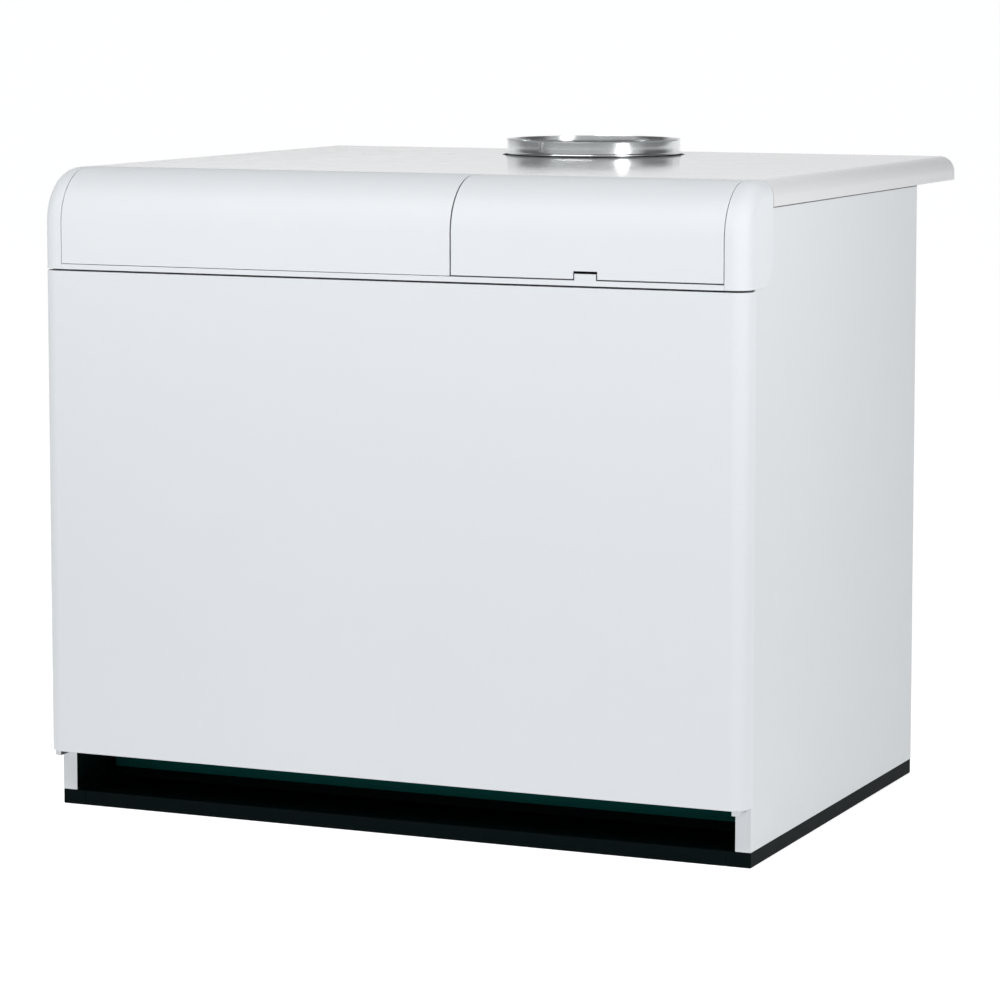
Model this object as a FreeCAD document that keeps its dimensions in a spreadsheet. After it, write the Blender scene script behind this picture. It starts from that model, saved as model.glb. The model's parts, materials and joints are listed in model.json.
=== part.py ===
import FreeCAD, Part
import os
import Sketcher
from FreeCAD import Placement, Rotation, Vector

# Floor-standing cast-iron gas boiler with an atmospheric burner assembly, in its sheet-steel casing.
# Millimetres. X to the right, Y to the back, Z up. The origin is on the floor under the middle of
# the whole object. Sizes live in the sheet "sizes"; every piece is bound to it by formulas.

doc = FreeCAD.newDocument("floor_boiler")
sheet = doc.addObject("Spreadsheet::Sheet", "sizes")
nodes = []


class Size:
    """A length with its value in millimetres and the formula that works it out from the sheet."""

    def __init__(self, value, formula):
        self.value = float(value)
        self.formula = formula

    def __add__(self, other):
        other = as_size(other)
        return Size(self.value + other.value, f"({self.formula} + {other.formula})")

    def __radd__(self, other):
        return as_size(other) + self

    def __sub__(self, other):
        other = as_size(other)
        return Size(self.value - other.value, f"({self.formula} - {other.formula})")

    def __rsub__(self, other):
        return as_size(other) - self

    def __mul__(self, factor):
        factor = as_size(factor)
        return Size(self.value * factor.value, f"({self.formula} * {factor.formula})")

    def __rmul__(self, factor):
        return as_size(factor) * self

    def __truediv__(self, divisor):
        divisor = as_size(divisor)
        return Size(self.value / divisor.value, f"({self.formula} / {divisor.formula})")

    def __neg__(self):
        return 0 - self


def as_size(item):
    return item if isinstance(item, Size) else Size(item, f"({float(item)})")


taken = []


def size(alias, value):
    """Writes one driving dimension into the sheet and gives it back as a Size."""
    taken.append(alias)
    row = len(taken)
    sheet.set(f"A{row}", alias)
    sheet.set(f"B{row}", str(value))
    sheet.setAlias(f"B{row}", alias)
    return Size(value, f"sizes.{alias}")


# Casing
casing_width = size("casing_width", 1190)
casing_height = size("casing_height", 1036)
side_depth = size("side_depth", 790)
rear_margin = size("rear_margin", 20)
door_proud = size("door_proud", 44)
panel_overlap = size("panel_overlap", 4)
plinth_height = size("plinth_height", 24)
plinth_width = size("plinth_width", 40)
plinth_wall = size("plinth_wall", 3)
skirt_height = size("skirt_height", 40)
edge_radius = size("edge_radius", 26)
gauge = size("sheet_gauge", 1.5)
flange_width = size("flange_width", 25)
flange_top = size("top_flange_width", 45)
stiffener = size("stiffener_width", 6)
door_bottom = size("door_bottom", 95)
door_gap = size("door_gap", 3)
rest_gap = size("door_rest_gap", 0.3)
flange_gap = size("flange_gap", 2)
seam = size("seam_gap", 2)
fixed_seam = size("fixed_panel_seam", 0.8)
door_pad = size("door_pad_thickness", 22)
door_pad_margin = size("door_pad_margin", 36)
door_pad_inset = size("door_pad_inset", 15)
stud_radius = size("stud_radius", 3.5)
stud_foot = size("stud_foot_radius", 6)
stud_foot_height = size("stud_foot_height", 8)
stud_margin = size("stud_margin", 60)
clip_radius = size("clip_radius", 9)
clip_length = size("clip_length", 8)
running = size("running_clearance", 0.05)
loose = size("hole_clearance", 2.5)
lug_width = size("lug_width", 10)
lug_height = size("lug_height", 8)
screw_radius = size("screw_radius", 2)
screw_head = size("screw_head_radius", 4.5)
screw_inset = size("screw_inset", 12)

# Curved fascia and control flap
fascia_height = size("fascia_height", 159)
fascia_radius = size("fascia_radius", 85)
fascia_reach = size("fascia_reach", 70)
mould_wall = size("mould_wall", 3)
cheek_width = size("cheek_width", 36)
cheek_corner = size("cheek_corner", 45)
lip_height = size("lip_height", 8)
lip_depth = size("lip_depth", 12)
flap_left = size("flap_left", 118)
bead_radius = size("bead_radius", 7)
pin_radius = size("hinge_pin_radius", 1.5)
pin_length = size("hinge_pin_length", 14)
notch_width = size("notch_width", 39)
notch_height = size("notch_height", 12)
tab_gap = size("tab_gap", 2)
rail_depth = size("cross_rail_depth", 38)
rail_height = size("cross_rail_height", 20)

# Controls behind the flap
housing_wall = size("housing_wall", 2.5)
housing_gap = size("housing_gap", 4)
shelf_drop = size("shelf_drop", 18)
knob_radius = size("knob_radius", 19)
knob_height = size("knob_height", 16)
knob_gap = size("knob_gap", 2)
pointer_width = size("pointer_width", 3)
shaft_radius = size("shaft_radius", 3)
gauge_radius = size("dial_radius", 23)
gauge_depth = size("dial_depth", 14)
gauge_rim = size("dial_rim", 2)
dial_card_depth = size("dial_card_depth", 9)
needle_depth = size("needle_depth", 6)
glass_inset = size("glass_inset", 0.5)
glass_thickness = size("glass_thickness", 1.5)
needle_length = size("needle_length", 16)
needle_width = size("needle_width", 1.6)
needle_hub = size("needle_hub_radius", 3)
needle_thickness = size("needle_thickness", 0.8)
hub_pin = size("hub_pin_radius", 0.8)
rocker_width = size("rocker_width", 14)
rocker_height = size("rocker_height", 22)
rocker_depth = size("rocker_depth", 10)
rocker_tilt = size("rocker_tilt", 8)
button_radius = size("button_radius", 7)
button_length = size("button_length", 11)
lamp_radius = size("lamp_radius", 5)
box_gap = size("control_box_gap", 10)
box_margin = size("control_box_margin", 10)

# Cast-iron block, flue path and water pipes
front_space = size("front_space", 130)
side_space = size("side_space", 115)
support_height = size("support_height", 86)
chamber_height = size("chamber_height", 190)
headroom = size("headroom", 106)
smoke_height = size("smoke_box_height", 128)
smoke_wall = size("smoke_box_wall", 2)
joint_gap = size("section_joint", 1)
front_rim = size("section_front_rim", 45)
rear_rim = size("section_rear_rim", 80)
web_recess = size("section_web_recess", 18)
casting_wall = size("casting_wall", 7)
water_margin = size("water_space_margin", 15)
leg_depth = size("leg_depth", 40)
leg_width = size("leg_width", 40)
nipple_radius = size("nipple_radius", 24)
nipple_bore = size("nipple_bore", 20)
nipple_length = size("nipple_length", 30)
port_inset = size("port_inset", 60)
rod_radius = size("tie_rod_radius", 6)
rod_offset = size("tie_rod_offset", 13)
rod_inset = size("tie_rod_inset", 20)
rod_overrun = size("tie_rod_overrun", 22)
lug_size = size("tie_lug_size", 26)
lug_thickness = size("tie_lug_thickness", 14)
nut_radius = size("nut_radius", 11)
nut_height = size("nut_height", 9)
slab_thickness = size("insulation_thickness", 38)
hood_gap = size("hood_gap", 30)
hood_margin = size("hood_margin", 10)
hood_drop = size("hood_top_drop", 36)
hood_height = size("hood_height", 440)
hood_clearance = size("hood_side_clearance", 24)
baffle_inset = size("baffle_inset", 80)
baffle_height = size("baffle_height", 160)
flue_diameter = size("flue_diameter", 300)
flue_offset = size("flue_offset", 30)
flue_rise = size("flue_rise", 27)
flue_wall = size("flue_wall", 1.2)
flue_clearance = size("flue_hole_clearance", 8)
bead_height = size("collar_bead_height", 5)
bead_width = size("collar_bead_width", 3)
water_radius = size("water_pipe_radius", 30.15)
water_thread = size("water_thread_radius", 29.8)
water_wall = size("water_pipe_wall", 3.8)
pipe_stub = size("pipe_stub", 60)
thread_length = size("thread_length", 40)
drain_gap = size("drain_gap", 8)
lever_gap = size("drain_lever_gap", 1)
drain_wall = size("drain_wall", 3)
drain_radius = size("drain_pipe_radius", 10)
drain_block = size("drain_block_size", 30)
lever_length = size("drain_lever_length", 62)
lever_width = size("drain_lever_width", 12)
lever_thickness = size("drain_lever_thickness", 4)

# Burner assembly
burner_height = size("burner_height", 75)
burner_radius = size("burner_radius", 22)
burner_wall = size("burner_wall", 1.5)
mouth_radius = size("burner_mouth_radius", 27)
mouth_length = size("burner_mouth_length", 15)
mouth_stand = size("burner_mouth_stand", 45)
burner_end_gap = size("burner_end_gap", 25)
plate_thickness = size("front_plate_thickness", 3)
manifold_offset = size("manifold_offset", 90)
manifold_radius = size("manifold_radius", 17)
manifold_wall = size("manifold_wall", 3)
manifold_margin = size("manifold_margin", 30)
injector_radius = size("injector_radius", 6)
injector_length = size("injector_length", 26)
injector_bore = size("injector_bore", 1.6)
injector_seat = size("injector_seat", 0.2)
valve_offset = size("valve_offset", 240)
valve_width = size("valve_width", 120)
valve_depth = size("valve_depth", 70)
valve_height = size("valve_height", 90)
valve_lift = size("valve_lift", 55)
coil_radius = size("valve_coil_radius", 22)
coil_height = size("valve_coil_height", 34)
riser_radius = size("riser_radius", 13)
gas_radius = size("gas_pipe_radius", 16.85)
gas_thread = size("gas_thread_radius", 16.6)
gas_wall = size("gas_pipe_wall", 3.2)
gas_inset = size("gas_pipe_inset", 45)
gas_elbow = size("gas_elbow_radius", 30)
pilot_lift = size("pilot_lift", 45)
pilot_radius = size("pilot_radius", 6)
electrode_radius = size("electrode_radius", 2.5)
electrode_offset = size("electrode_offset", 15)
probe_length = size("probe_length", 70)
sight_lift = size("sight_lift", 50)
sight_radius = size("sight_radius", 12)
cover_pivot = size("sight_cover_pivot", 26)
cover_boss = size("sight_cover_boss", 8)
cover_pin = size("sight_cover_pin", 3)
cover_thickness = size("sight_cover_thickness", 3)
kick_lift = size("kick_plate_lift", 16)
gland_radius = size("gland_radius", 10)
gland_bore = size("gland_bore", 5)
gland_length = size("gland_length", 22)
gland_pitch = size("gland_pitch", 50)
gland_inset = size("gland_inset", 95)

doc.recompute()

# Places worked out from the sizes
flue_radius = flue_diameter / 2
rear_overhang = flue_offset + flue_radius + rear_margin
rear_space = flue_radius - flue_offset + hood_gap + hood_margin
half = casing_width / 2
face = half + panel_overlap
back = (door_proud + side_depth + rear_overhang) / 2
front = -back
flange = front + door_proud
side_back = flange + side_depth
fascia_back = flange + fascia_reach
cover_front = fascia_back + seam
top = casing_height
side_top = top - edge_radius
skirt_bottom = top - skirt_height
fascia_bottom = top - fascia_height
lip_top = fascia_bottom + lip_height
skin_bottom = lip_top + seam
door_top = fascia_bottom - door_gap
cheek_inner = face - cheek_width
pivot_y = fascia_back - bead_radius
pivot_z = top - bead_radius

SECTION_COUNT = 10
block_front = flange + front_space
block_back = side_back - rear_space
block_half = half - side_space
pitch = block_half * 2 / SECTION_COUNT
support_top = plinth_height + support_height
block_bottom = support_top + chamber_height
smoke_top = top - headroom
block_top = smoke_top - smoke_height
port_y = block_back - rear_rim / 2
port_high = block_top - port_inset
port_low = block_bottom + port_inset
port_x = block_half - pitch / 2

hood_half = block_half - pitch - hood_clearance
hood_front = block_back + hood_gap
hood_back = back - hood_margin
hood_top = top - hood_drop
hood_bottom = hood_top - hood_height
flue_y = side_back + flue_offset

burner_z = support_top + burner_height
manifold_y = block_front - manifold_offset
gas_x = gas_inset - half
gas_z = burner_z + valve_lift + valve_height / 2

# What turns each primitive's own Z onto a row axis
TURNS = {
    "x": Rotation(Vector(0, 1, 0), 90),
    "y": Rotation(Vector(1, 0, 0), -90),
    "z": Rotation(),
}


def bind(thing, prop, amount):
    thing.setExpression(prop, as_size(amount).formula)


def place(thing, x, y, z, turn=Rotation()):
    thing.Placement = Placement(Vector(), turn)
    bind(thing, "Placement.Base.x", x)
    bind(thing, "Placement.Base.y", y)
    bind(thing, "Placement.Base.z", z)


def block(x, y, z):
    """A block between the low and high values given for each axis."""
    piece = doc.addObject("Part::Box", "block")
    bind(piece, "Length", x[1] - x[0])
    bind(piece, "Width", y[1] - y[0])
    bind(piece, "Height", z[1] - z[0])
    place(piece, x[0], y[0], z[0])
    return piece


def rod(axis, start, radius, length):
    """A cylinder that runs from start along +X, +Y or +Z."""
    piece = doc.addObject("Part::Cylinder", "rod")
    bind(piece, "Radius", radius)
    bind(piece, "Height", length)
    place(piece, *start, TURNS[axis])
    return piece


def fuse(*pieces):
    piece = doc.addObject("Part::MultiFuse", "fuse")
    piece.Shapes = list(pieces)
    return piece


def cut(base, *tools):
    piece = doc.addObject("Part::Cut", "cut")
    piece.Base = base
    piece.Tool = tools[0] if len(tools) == 1 else fuse(*tools)
    return piece


def group(*pieces):
    piece = doc.addObject("Part::Compound", "group")
    piece.Links = list(pieces)
    return piece


def mirror(piece):
    twin = doc.addObject("Part::Mirroring", "mirror")
    twin.Source = piece
    twin.Normal = Vector(1, 0, 0)
    return twin


def node(name, piece):
    """Marks a finished sub-part; its label names its file."""
    piece.Label = name
    nodes.append(piece)
    return piece


def arc_between(start, end, radius, turn):
    """The arc from start to end: turn is 1 anticlockwise, -1 clockwise."""
    chord = end - start
    middle = (start + end) / 2
    rise = max(radius ** 2 - (chord.Length / 2) ** 2, 0) ** 0.5
    side = Vector(-chord.y, chord.x, 0).normalize() * rise * turn
    centre = middle + side
    circle = Part.Circle(centre, Vector(0, 0, 1), radius)
    first, last = (start, end) if turn > 0 else (end, start)
    return Part.ArcOfCircle(circle, circle.parameter(first), circle.parameter(last))


def draw(sketch, outline):
    """Draws a closed outline: each step is (x, y), or (x, y, radius, turn) for an arc to that point."""
    points = [Vector(as_size(step[0]).value, as_size(step[1]).value, 0) for step in outline]
    starts = []
    for index, step in enumerate(outline):
        previous = points[index - 1]
        if len(step) == 2:
            edge = sketch.addGeometry(Part.LineSegment(previous, points[index]))
            first, last = 1, 2
        else:
            radius = as_size(step[2])
            edge = sketch.addGeometry(arc_between(previous, points[index], radius.value, step[3]))
            first, last = (1, 2) if step[3] > 0 else (2, 1)
            rule = sketch.addConstraint(Sketcher.Constraint("Radius", edge, radius.value))
            sketch.setExpression(f"Constraints[{rule}]", radius.formula)
        starts.append((edge, first, last))
        for kind, amount in (("DistanceX", step[0]), ("DistanceY", step[1])):
            amount = as_size(amount)
            rule = sketch.addConstraint(Sketcher.Constraint(kind, -1, 1, edge, last, amount.value))
            sketch.setExpression(f"Constraints[{rule}]", amount.formula)
    for index, (edge, first, last) in enumerate(starts):
        before = starts[index - 1]
        sketch.addConstraint(Sketcher.Constraint("Coincident", before[0], before[2], edge, first))


def extrude(name, plane, outline, low, high):
    """A PartDesign body padded from low to high along the axis that the plane leaves out."""
    body = doc.addObject("PartDesign::Body", name)
    sketch = body.newObject("Sketcher::SketchObject", name + "_outline")
    base = [part for part in body.Origin.OriginFeatures if part.Role == plane + "_Plane"][0]
    sketch.AttachmentSupport = [(base, "")]
    sketch.MapMode = "FlatFace"
    draw(sketch, outline)
    pad = body.newObject("PartDesign::Pad", name + "_pad")
    pad.Profile = sketch
    bind(pad, "Length", high - low)
    corner = {"XY": (0, 0, low), "XZ": (0, high, 0), "YZ": (low, 0, 0)}[plane]
    place(body, *corner)
    return body


def ends(inset):
    """A pair of spans, left and right, mirrored about the middle."""
    return -inset, inset


# ---------------------------------------------------------------- casing

def plinth_rail(x, y, inner_x, inner_y):
    """A hollow rail of the plinth; inner_x and inner_y are the spans of its hollow."""
    z = (as_size(0), plinth_height)
    hollow = block(inner_x, inner_y, (plinth_wall, plinth_height - plinth_wall))
    return cut(block(x, y, z), hollow)


def plinth():
    rails = []
    for side in (-1, 1):
        outer = half if side > 0 else plinth_width - half
        x = (outer - plinth_width, outer)
        inner = (x[0] + plinth_wall, x[1] - plinth_wall)
        y = (flange, side_back)
        rails.append(plinth_rail(x, y, inner, (y[0] + plinth_wall, y[1] - plinth_wall)))
    node("base_side_rails", group(*rails))
    reach = half - plinth_width
    rails = []
    for start in (flange, side_back - plinth_width):
        y = (start, start + plinth_width)
        inner = (y[0] + plinth_wall, y[1] - plinth_wall)
        rails.append(plinth_rail((-reach, reach), y, (-reach - 1, reach + 1), inner))
    node("base_cross_rails", group(*rails))


def stud_places():
    """X and Z of the four press studs that hold the door."""
    x = half - flange_width / 2
    return [(side * x, z) for side in (-1, 1) for z in (door_bottom + stud_margin, door_top - stud_margin)]


def side_panel():
    """The right side panel: a tray with flanges all round and a wider ledge under the top cover."""
    low = half - flange_width
    shell = cut(
        block((low, half), (flange, side_back), (plinth_height, side_top)),
        block(
            (low - 1, half - gauge),
            (flange + gauge, side_back - gauge),
            (plinth_height + gauge, side_top - gauge),
        ),
    )
    ledge = block(
        (half - flange_top, half - gauge),
        (cover_front, side_back - gauge),
        (side_top - gauge, side_top),
    )
    holes = [
        rod("y", (x, flange - 1, z), stud_radius + loose, gauge + 2)
        for x, z in stud_places()
        if x.value > 0
    ]
    corner = block(
        (low - 1, half + 1),
        (flange - 1, front + fascia_radius + housing_gap),
        (top - fascia_radius, side_top + 1),
    )
    return cut(fuse(shell, ledge), corner, *holes)


def screw_places():
    """X and Z of the screws round the rear panels."""
    x = half - screw_inset
    split = hood_bottom - hood_margin
    levels = [
        plinth_height + screw_inset,
        (plinth_height + split) / 2,
        split - screw_inset,
        split + screw_inset,
        (split + side_top) / 2,
        side_top - screw_inset,
    ]
    return [(side * x, z) for side in (-1, 1) for z in levels]


def rear_panels():
    y = (side_back, side_back + gauge)
    split = hood_bottom - hood_margin
    holes = [rod("y", (x, side_back - 1, z), screw_radius, gauge + 2) for x, z in screw_places()]
    pipes = [
        rod("y", (port_x, side_back - 1, port_low), water_radius + loose, gauge + 2),
        rod("y", (-port_x, side_back - 1, port_low), drain_radius + loose, gauge + 2),
        rod("y", (gas_x, side_back - 1, gas_z), gas_radius + loose, gauge + 2),
    ]
    lower = block(ends(half), y, (plinth_height, split))
    node("rear_panel_lower", cut(lower, *holes, *pipes))
    inner = hood_half + flange_gap
    right = block((inner, half), y, (split, side_top))
    flow = rod("y", (port_x, side_back - 1, port_high), water_radius + loose, gauge + 2)
    node("rear_panel_right", cut(right, *holes, flow))
    left = block((-half, -inner), y, (split, side_top))
    glands = [
        rod("y", (x, side_back - 1, z), gland_radius + running, gauge + 2) for x, z in gland_places()
    ]
    node("rear_panel_left", cut(left, *holes, *glands))
    screws = [
        fuse(
            rod("y", (x, side_back, z), screw_radius, gauge),
            rod("y", (x, side_back + gauge, z), screw_head, gauge + 1),
        )
        for x, z in screw_places()
    ]
    node("casing_screws", group(*screws))


def gland_places():
    return [(gland_inset - half, side_top - gland_inset - gland_pitch * step) for step in (0, 1)]


def cable_glands():
    pieces = []
    for x, z in gland_places():
        body = fuse(
            rod("y", (x, side_back - gland_radius, z), gland_radius, gland_radius + gauge),
            rod("y", (x, side_back + gauge, z), gland_radius + 3, 5),
            rod("y", (x, side_back + gauge + 5, z), gland_radius + 1, gland_length - 5),
        )
        bore = rod("y", (x, side_back - gland_radius - 1, z), gland_bore, gland_length + gland_radius + 4)
        pieces.append(cut(body, bore))
    node("cable_glands", group(*pieces))


def rounded_channel(reach, corner, wall, crown, foot):
    """A channel with rounded corners: crown is the level of its web and foot of its open edges."""
    sign = 1 if crown.value > foot.value else -1
    turn = -sign
    shoulder = crown - corner * sign
    inside = crown - wall * sign
    return [
        (-reach, foot),
        (-reach, shoulder),
        (corner - reach, crown, corner, turn),
        (reach - corner, crown),
        (reach, shoulder, corner, turn),
        (reach, foot),
        (reach - wall, foot),
        (reach - wall, shoulder),
        (reach - corner, inside, corner - wall, -turn),
        (corner - reach, inside),
        (wall - reach, shoulder, corner - wall, -turn),
        (wall - reach, foot),
    ]


def rounded_end(reach, corner, crown, foot):
    """The same outline filled in, for the plate that closes the channel's end."""
    sign = 1 if crown.value > foot.value else -1
    shoulder = crown - corner * sign
    return [
        (-reach, foot),
        (-reach, shoulder),
        (corner - reach, crown, corner, -sign),
        (reach - corner, crown),
        (reach, shoulder, corner, -sign),
        (reach, foot),
    ]


def top_cover():
    shell = extrude(
        "cover_shell", "XZ", rounded_channel(face, edge_radius, gauge, top, skirt_bottom), cover_front, back
    )
    rear = extrude("cover_rear", "XZ", rounded_end(face, edge_radius, top, skirt_bottom), back - gauge, back)
    lip = block(ends(face - edge_radius), (cover_front, cover_front + gauge), (side_top, top - gauge))
    ribs = []
    for x in (half - flange_top, flange_top - half - stiffener):
        ribs.append(block((x, x + stiffener), (cover_front, side_back), (side_top, top - gauge)))
    hole = rod("z", (0, flue_y, top - gauge - 1), flue_radius + flue_clearance, gauge + 2)
    node("top_cover", cut(fuse(shell, rear, lip, *ribs), hole))


def front_door():
    rear = flange - flange_gap
    shell = extrude(
        "door_shell", "XY", rounded_channel(face, edge_radius, gauge, front, rear), door_bottom, door_top
    )
    plate = rounded_end(face, edge_radius, front, rear)
    foot = extrude("door_foot", "XY", plate, door_bottom, door_bottom + gauge)
    head = extrude("door_head", "XY", plate, door_top - gauge, door_top)
    door = fuse(shell, foot, head)
    node("front_door", door)
    inner = front + gauge
    pad = block(
        ends(face - door_pad_margin),
        (inner, inner + door_pad),
        (door_bottom + door_pad_inset, door_top - door_pad_inset),
    )
    node("door_insulation", pad)
    studs = []
    clips = []
    for x, z in stud_places():
        reach = flange + gauge + clip_length + 2 - inner
        shank = rod("y", (x, inner, z), stud_radius, reach)
        studs.append(cut(fuse(shank, rod("y", (x, inner, z), stud_foot, stud_foot_height)), door))
        start = (x, flange + gauge, z)
        clip = rod("y", start, clip_radius, clip_length)
        clips.append(cut(clip, rod("y", start, stud_radius + running, clip_length)))
    node("door_studs", group(*studs))
    node("stud_clips", group(*clips))


def door_lugs():
    """The two lugs under the door's lower corners, on the side panels' front flanges."""
    pieces = []
    high = door_bottom - rest_gap
    for side in (-1, 1):
        middle = (half - flange_width / 2) * side
        x = (middle - lug_width / 2, middle + lug_width / 2)
        pieces.append(block(x, (front + 6, flange), (high - lug_height, high)))
    node("door_support_lugs", group(*pieces))


# ---------------------------------------------------------------- fascia

def fascia_skin(name, low, high, rear, foot):
    """A curved skin: upright at the front from its foot, a quarter round, then flat to its rear edge."""
    shoulder = top - fascia_radius
    inside = fascia_radius - mould_wall
    outline = [
        (front, foot),
        (front, shoulder),
        (front + fascia_radius, top, fascia_radius, -1),
        (rear, top),
        (rear, top - mould_wall),
        (front + fascia_radius, top - mould_wall),
        (front + mould_wall, shoulder, inside, 1),
        (front + mould_wall, foot),
    ]
    return extrude(name, "YZ", outline, low, high)


def cheek_form(name, inset, foot, rear, corner, low):
    """One end of the fascia as a solid with a rounded outer edge, set in by inset all round."""
    shoulder = top - fascia_radius
    outline = [
        (front + inset, foot),
        (front + inset, shoulder),
        (front + fascia_radius, top - inset, fascia_radius - inset, -1),
        (rear, top - inset),
        (rear, foot + corner),
        (rear - corner, foot, corner, -1),
    ]
    body = extrude(name, "YZ", outline, low, face - inset)
    doc.recompute()
    pad = body.Tip
    outer = (face - inset - low).value
    rounded = []
    for index, edge in enumerate(pad.Shape.Edges):
        middle = edge.valueAt((edge.FirstParameter + edge.LastParameter) / 2)
        low_end = min(vertex.Z for vertex in edge.Vertexes)
        on_face = all(abs(vertex.X - outer) < 0.01 for vertex in edge.Vertexes)
        high_up = low_end > shoulder.value - 0.01
        at_front = abs(middle.y - (front + inset).value) < 0.01
        if on_face and (high_up or at_front) and abs(middle.y - rear.value) > 0.01:
            rounded.append(f"Edge{index + 1}")
    fillet = body.newObject("PartDesign::Fillet", name + "_round")
    fillet.Base = (pad, rounded)
    bind(fillet, "Radius", edge_radius - inset)
    return body


def cheeks():
    outer = cheek_form("cheek_outer", as_size(0), fascia_bottom, fascia_back, cheek_corner, cheek_inner)
    inner = cheek_form(
        "cheek_inner", mould_wall, fascia_bottom - 5, fascia_back + 5, as_size(2), cheek_inner - 1
    )
    right = cut(outer, inner)
    node("fascia_cheek_right", right)
    node("fascia_cheek_left", mirror(right))


def flap_middle():
    return (flap_left + cheek_inner) / 2


def fascia():
    cheeks()
    fixed_low = fixed_seam - cheek_inner
    fixed_high = flap_left - seam / 2
    fixed = fascia_skin("fixed_skin", fixed_low, fixed_high, fascia_back, lip_top + fixed_seam)
    node("fascia_panel", fixed)
    bar = block(ends(cheek_inner), (front, front + lip_depth), (fascia_bottom, lip_top))
    tab_half = notch_width / 2 - tab_gap
    tab = block(
        (flap_middle() - tab_half, flap_middle() + tab_half),
        (front + rest_gap, front + mould_wall),
        (lip_top, skin_bottom + notch_height - tab_gap * 2),
    )
    node("fascia_lip", fuse(bar, tab))
    low = flap_left + seam / 2
    high = cheek_inner - seam / 2
    skin = fascia_skin("flap_skin", low, high, pivot_y, skin_bottom)
    bead_low = flap_left + housing_gap + housing_wall + rest_gap
    bead_high = cheek_inner - housing_gap - housing_wall - rest_gap
    start = (bead_low, pivot_y, pivot_z)
    bead = rod("x", start, bead_radius, bead_high - bead_low)
    bore = rod("x", (bead_low - 1, pivot_y, pivot_z), pin_radius + running, bead_high - bead_low + 2)
    notch = block(
        (flap_middle() - notch_width / 2, flap_middle() + notch_width / 2),
        (front - 1, front + mould_wall + 1),
        (skin_bottom - 1, skin_bottom + notch_height),
    )
    node("control_flap", cut(fuse(skin, bead), bore, notch))
    left_pin = rod("x", (flap_left + housing_gap, pivot_y, pivot_z), pin_radius, pin_length)
    right_start = cheek_inner - housing_gap - pin_length
    right_pin = rod("x", (right_start, pivot_y, pivot_z), pin_radius, pin_length)
    node("flap_hinge_pins", group(left_pin, right_pin))
    rail_y = (flange + housing_gap + gauge, flange + housing_gap + gauge + rail_depth)
    rail_z = (fascia_bottom + housing_gap, fascia_bottom + housing_gap + rail_height)
    rail = block(ends(half - gauge), rail_y, rail_z)
    channel = block(
        ends(half),
        (rail_y[0] + gauge, rail_y[1] + 1),
        (rail_z[0] + gauge, rail_z[1] - gauge),
    )
    node("front_cross_rail", cut(rail, channel))


# ---------------------------------------------------------------- controls

INSTRUMENTS = ["switch", "reset", "lamp", "thermostat", "stage", "thermometer", "pressure"]
housing_low = flap_left + housing_gap
housing_high = cheek_inner - housing_gap
dial_y = flange + knob_gap
housing_floor = lip_top + housing_gap
shelf_z = top - shelf_drop


def dial_x(name):
    """The instruments share the width between the housing's walls evenly."""
    step = INSTRUMENTS.index(name) + 0.5
    return housing_low + (housing_high - housing_low) * step / len(INSTRUMENTS)


dial_z = (housing_floor + shelf_z) / 2


def control_housing():
    inset = mould_wall + gauge
    shoulder = top - fascia_radius
    wall = [
        (front + inset, housing_floor),
        (front + inset, shoulder),
        (front + fascia_radius, top - inset, fascia_radius - inset, -1),
        (pivot_y + mould_wall, top - inset),
        (pivot_y + mould_wall, shelf_z - housing_wall),
        (dial_y + housing_wall, shelf_z - housing_wall),
        (dial_y + housing_wall, housing_floor),
    ]
    left = extrude("housing_left", "YZ", wall, housing_low, housing_low + housing_wall)
    right = extrude("housing_right", "YZ", wall, housing_high - housing_wall, housing_high)
    x = (housing_low, housing_high)
    floor = block(x, (front + inset, dial_y + housing_wall), (housing_floor, housing_floor + housing_wall))
    plate = block(x, (dial_y, dial_y + housing_wall), (housing_floor, shelf_z))
    shelf = block(x, (dial_y, pivot_y - bead_radius - 2), (shelf_z - housing_wall, shelf_z))
    pins = rod("x", (housing_low - 1, pivot_y, pivot_z), pin_radius + running, housing_high - housing_low + 2)
    through = housing_wall + 2
    start = dial_y - 1
    shafts = [
        rod("y", (dial_x(name), start, dial_z), shaft_radius + running, through)
        for name in ("thermostat", "stage")
    ]
    button = rod("y", (dial_x("reset"), start, dial_z), button_radius + running, through)
    slot = block(
        (dial_x("switch") - rocker_width / 2 - rest_gap, dial_x("switch") + rocker_width / 2 + rest_gap),
        (start, start + through),
        (dial_z - rocker_height / 2 - gauge, dial_z + rocker_height / 2 + gauge),
    )
    node("control_housing", cut(fuse(left, right, floor, plate, shelf), pins, *shafts, button, slot))


def knob(node_name, place_name):
    x = dial_x(place_name)
    grip_y = dial_y - knob_gap - knob_height
    grip = rod("y", (x, grip_y, dial_z), knob_radius, knob_height)
    shaft = rod("y", (x, grip_y + knob_height, dial_z), shaft_radius, knob_gap + housing_wall)
    ridge = block(
        ends_about(x, pointer_width / 2),
        (grip_y - 1, grip_y + 1),
        (dial_z + knob_radius / 3, dial_z + knob_radius - 1),
    )
    node(node_name, fuse(grip, shaft, ridge))


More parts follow.
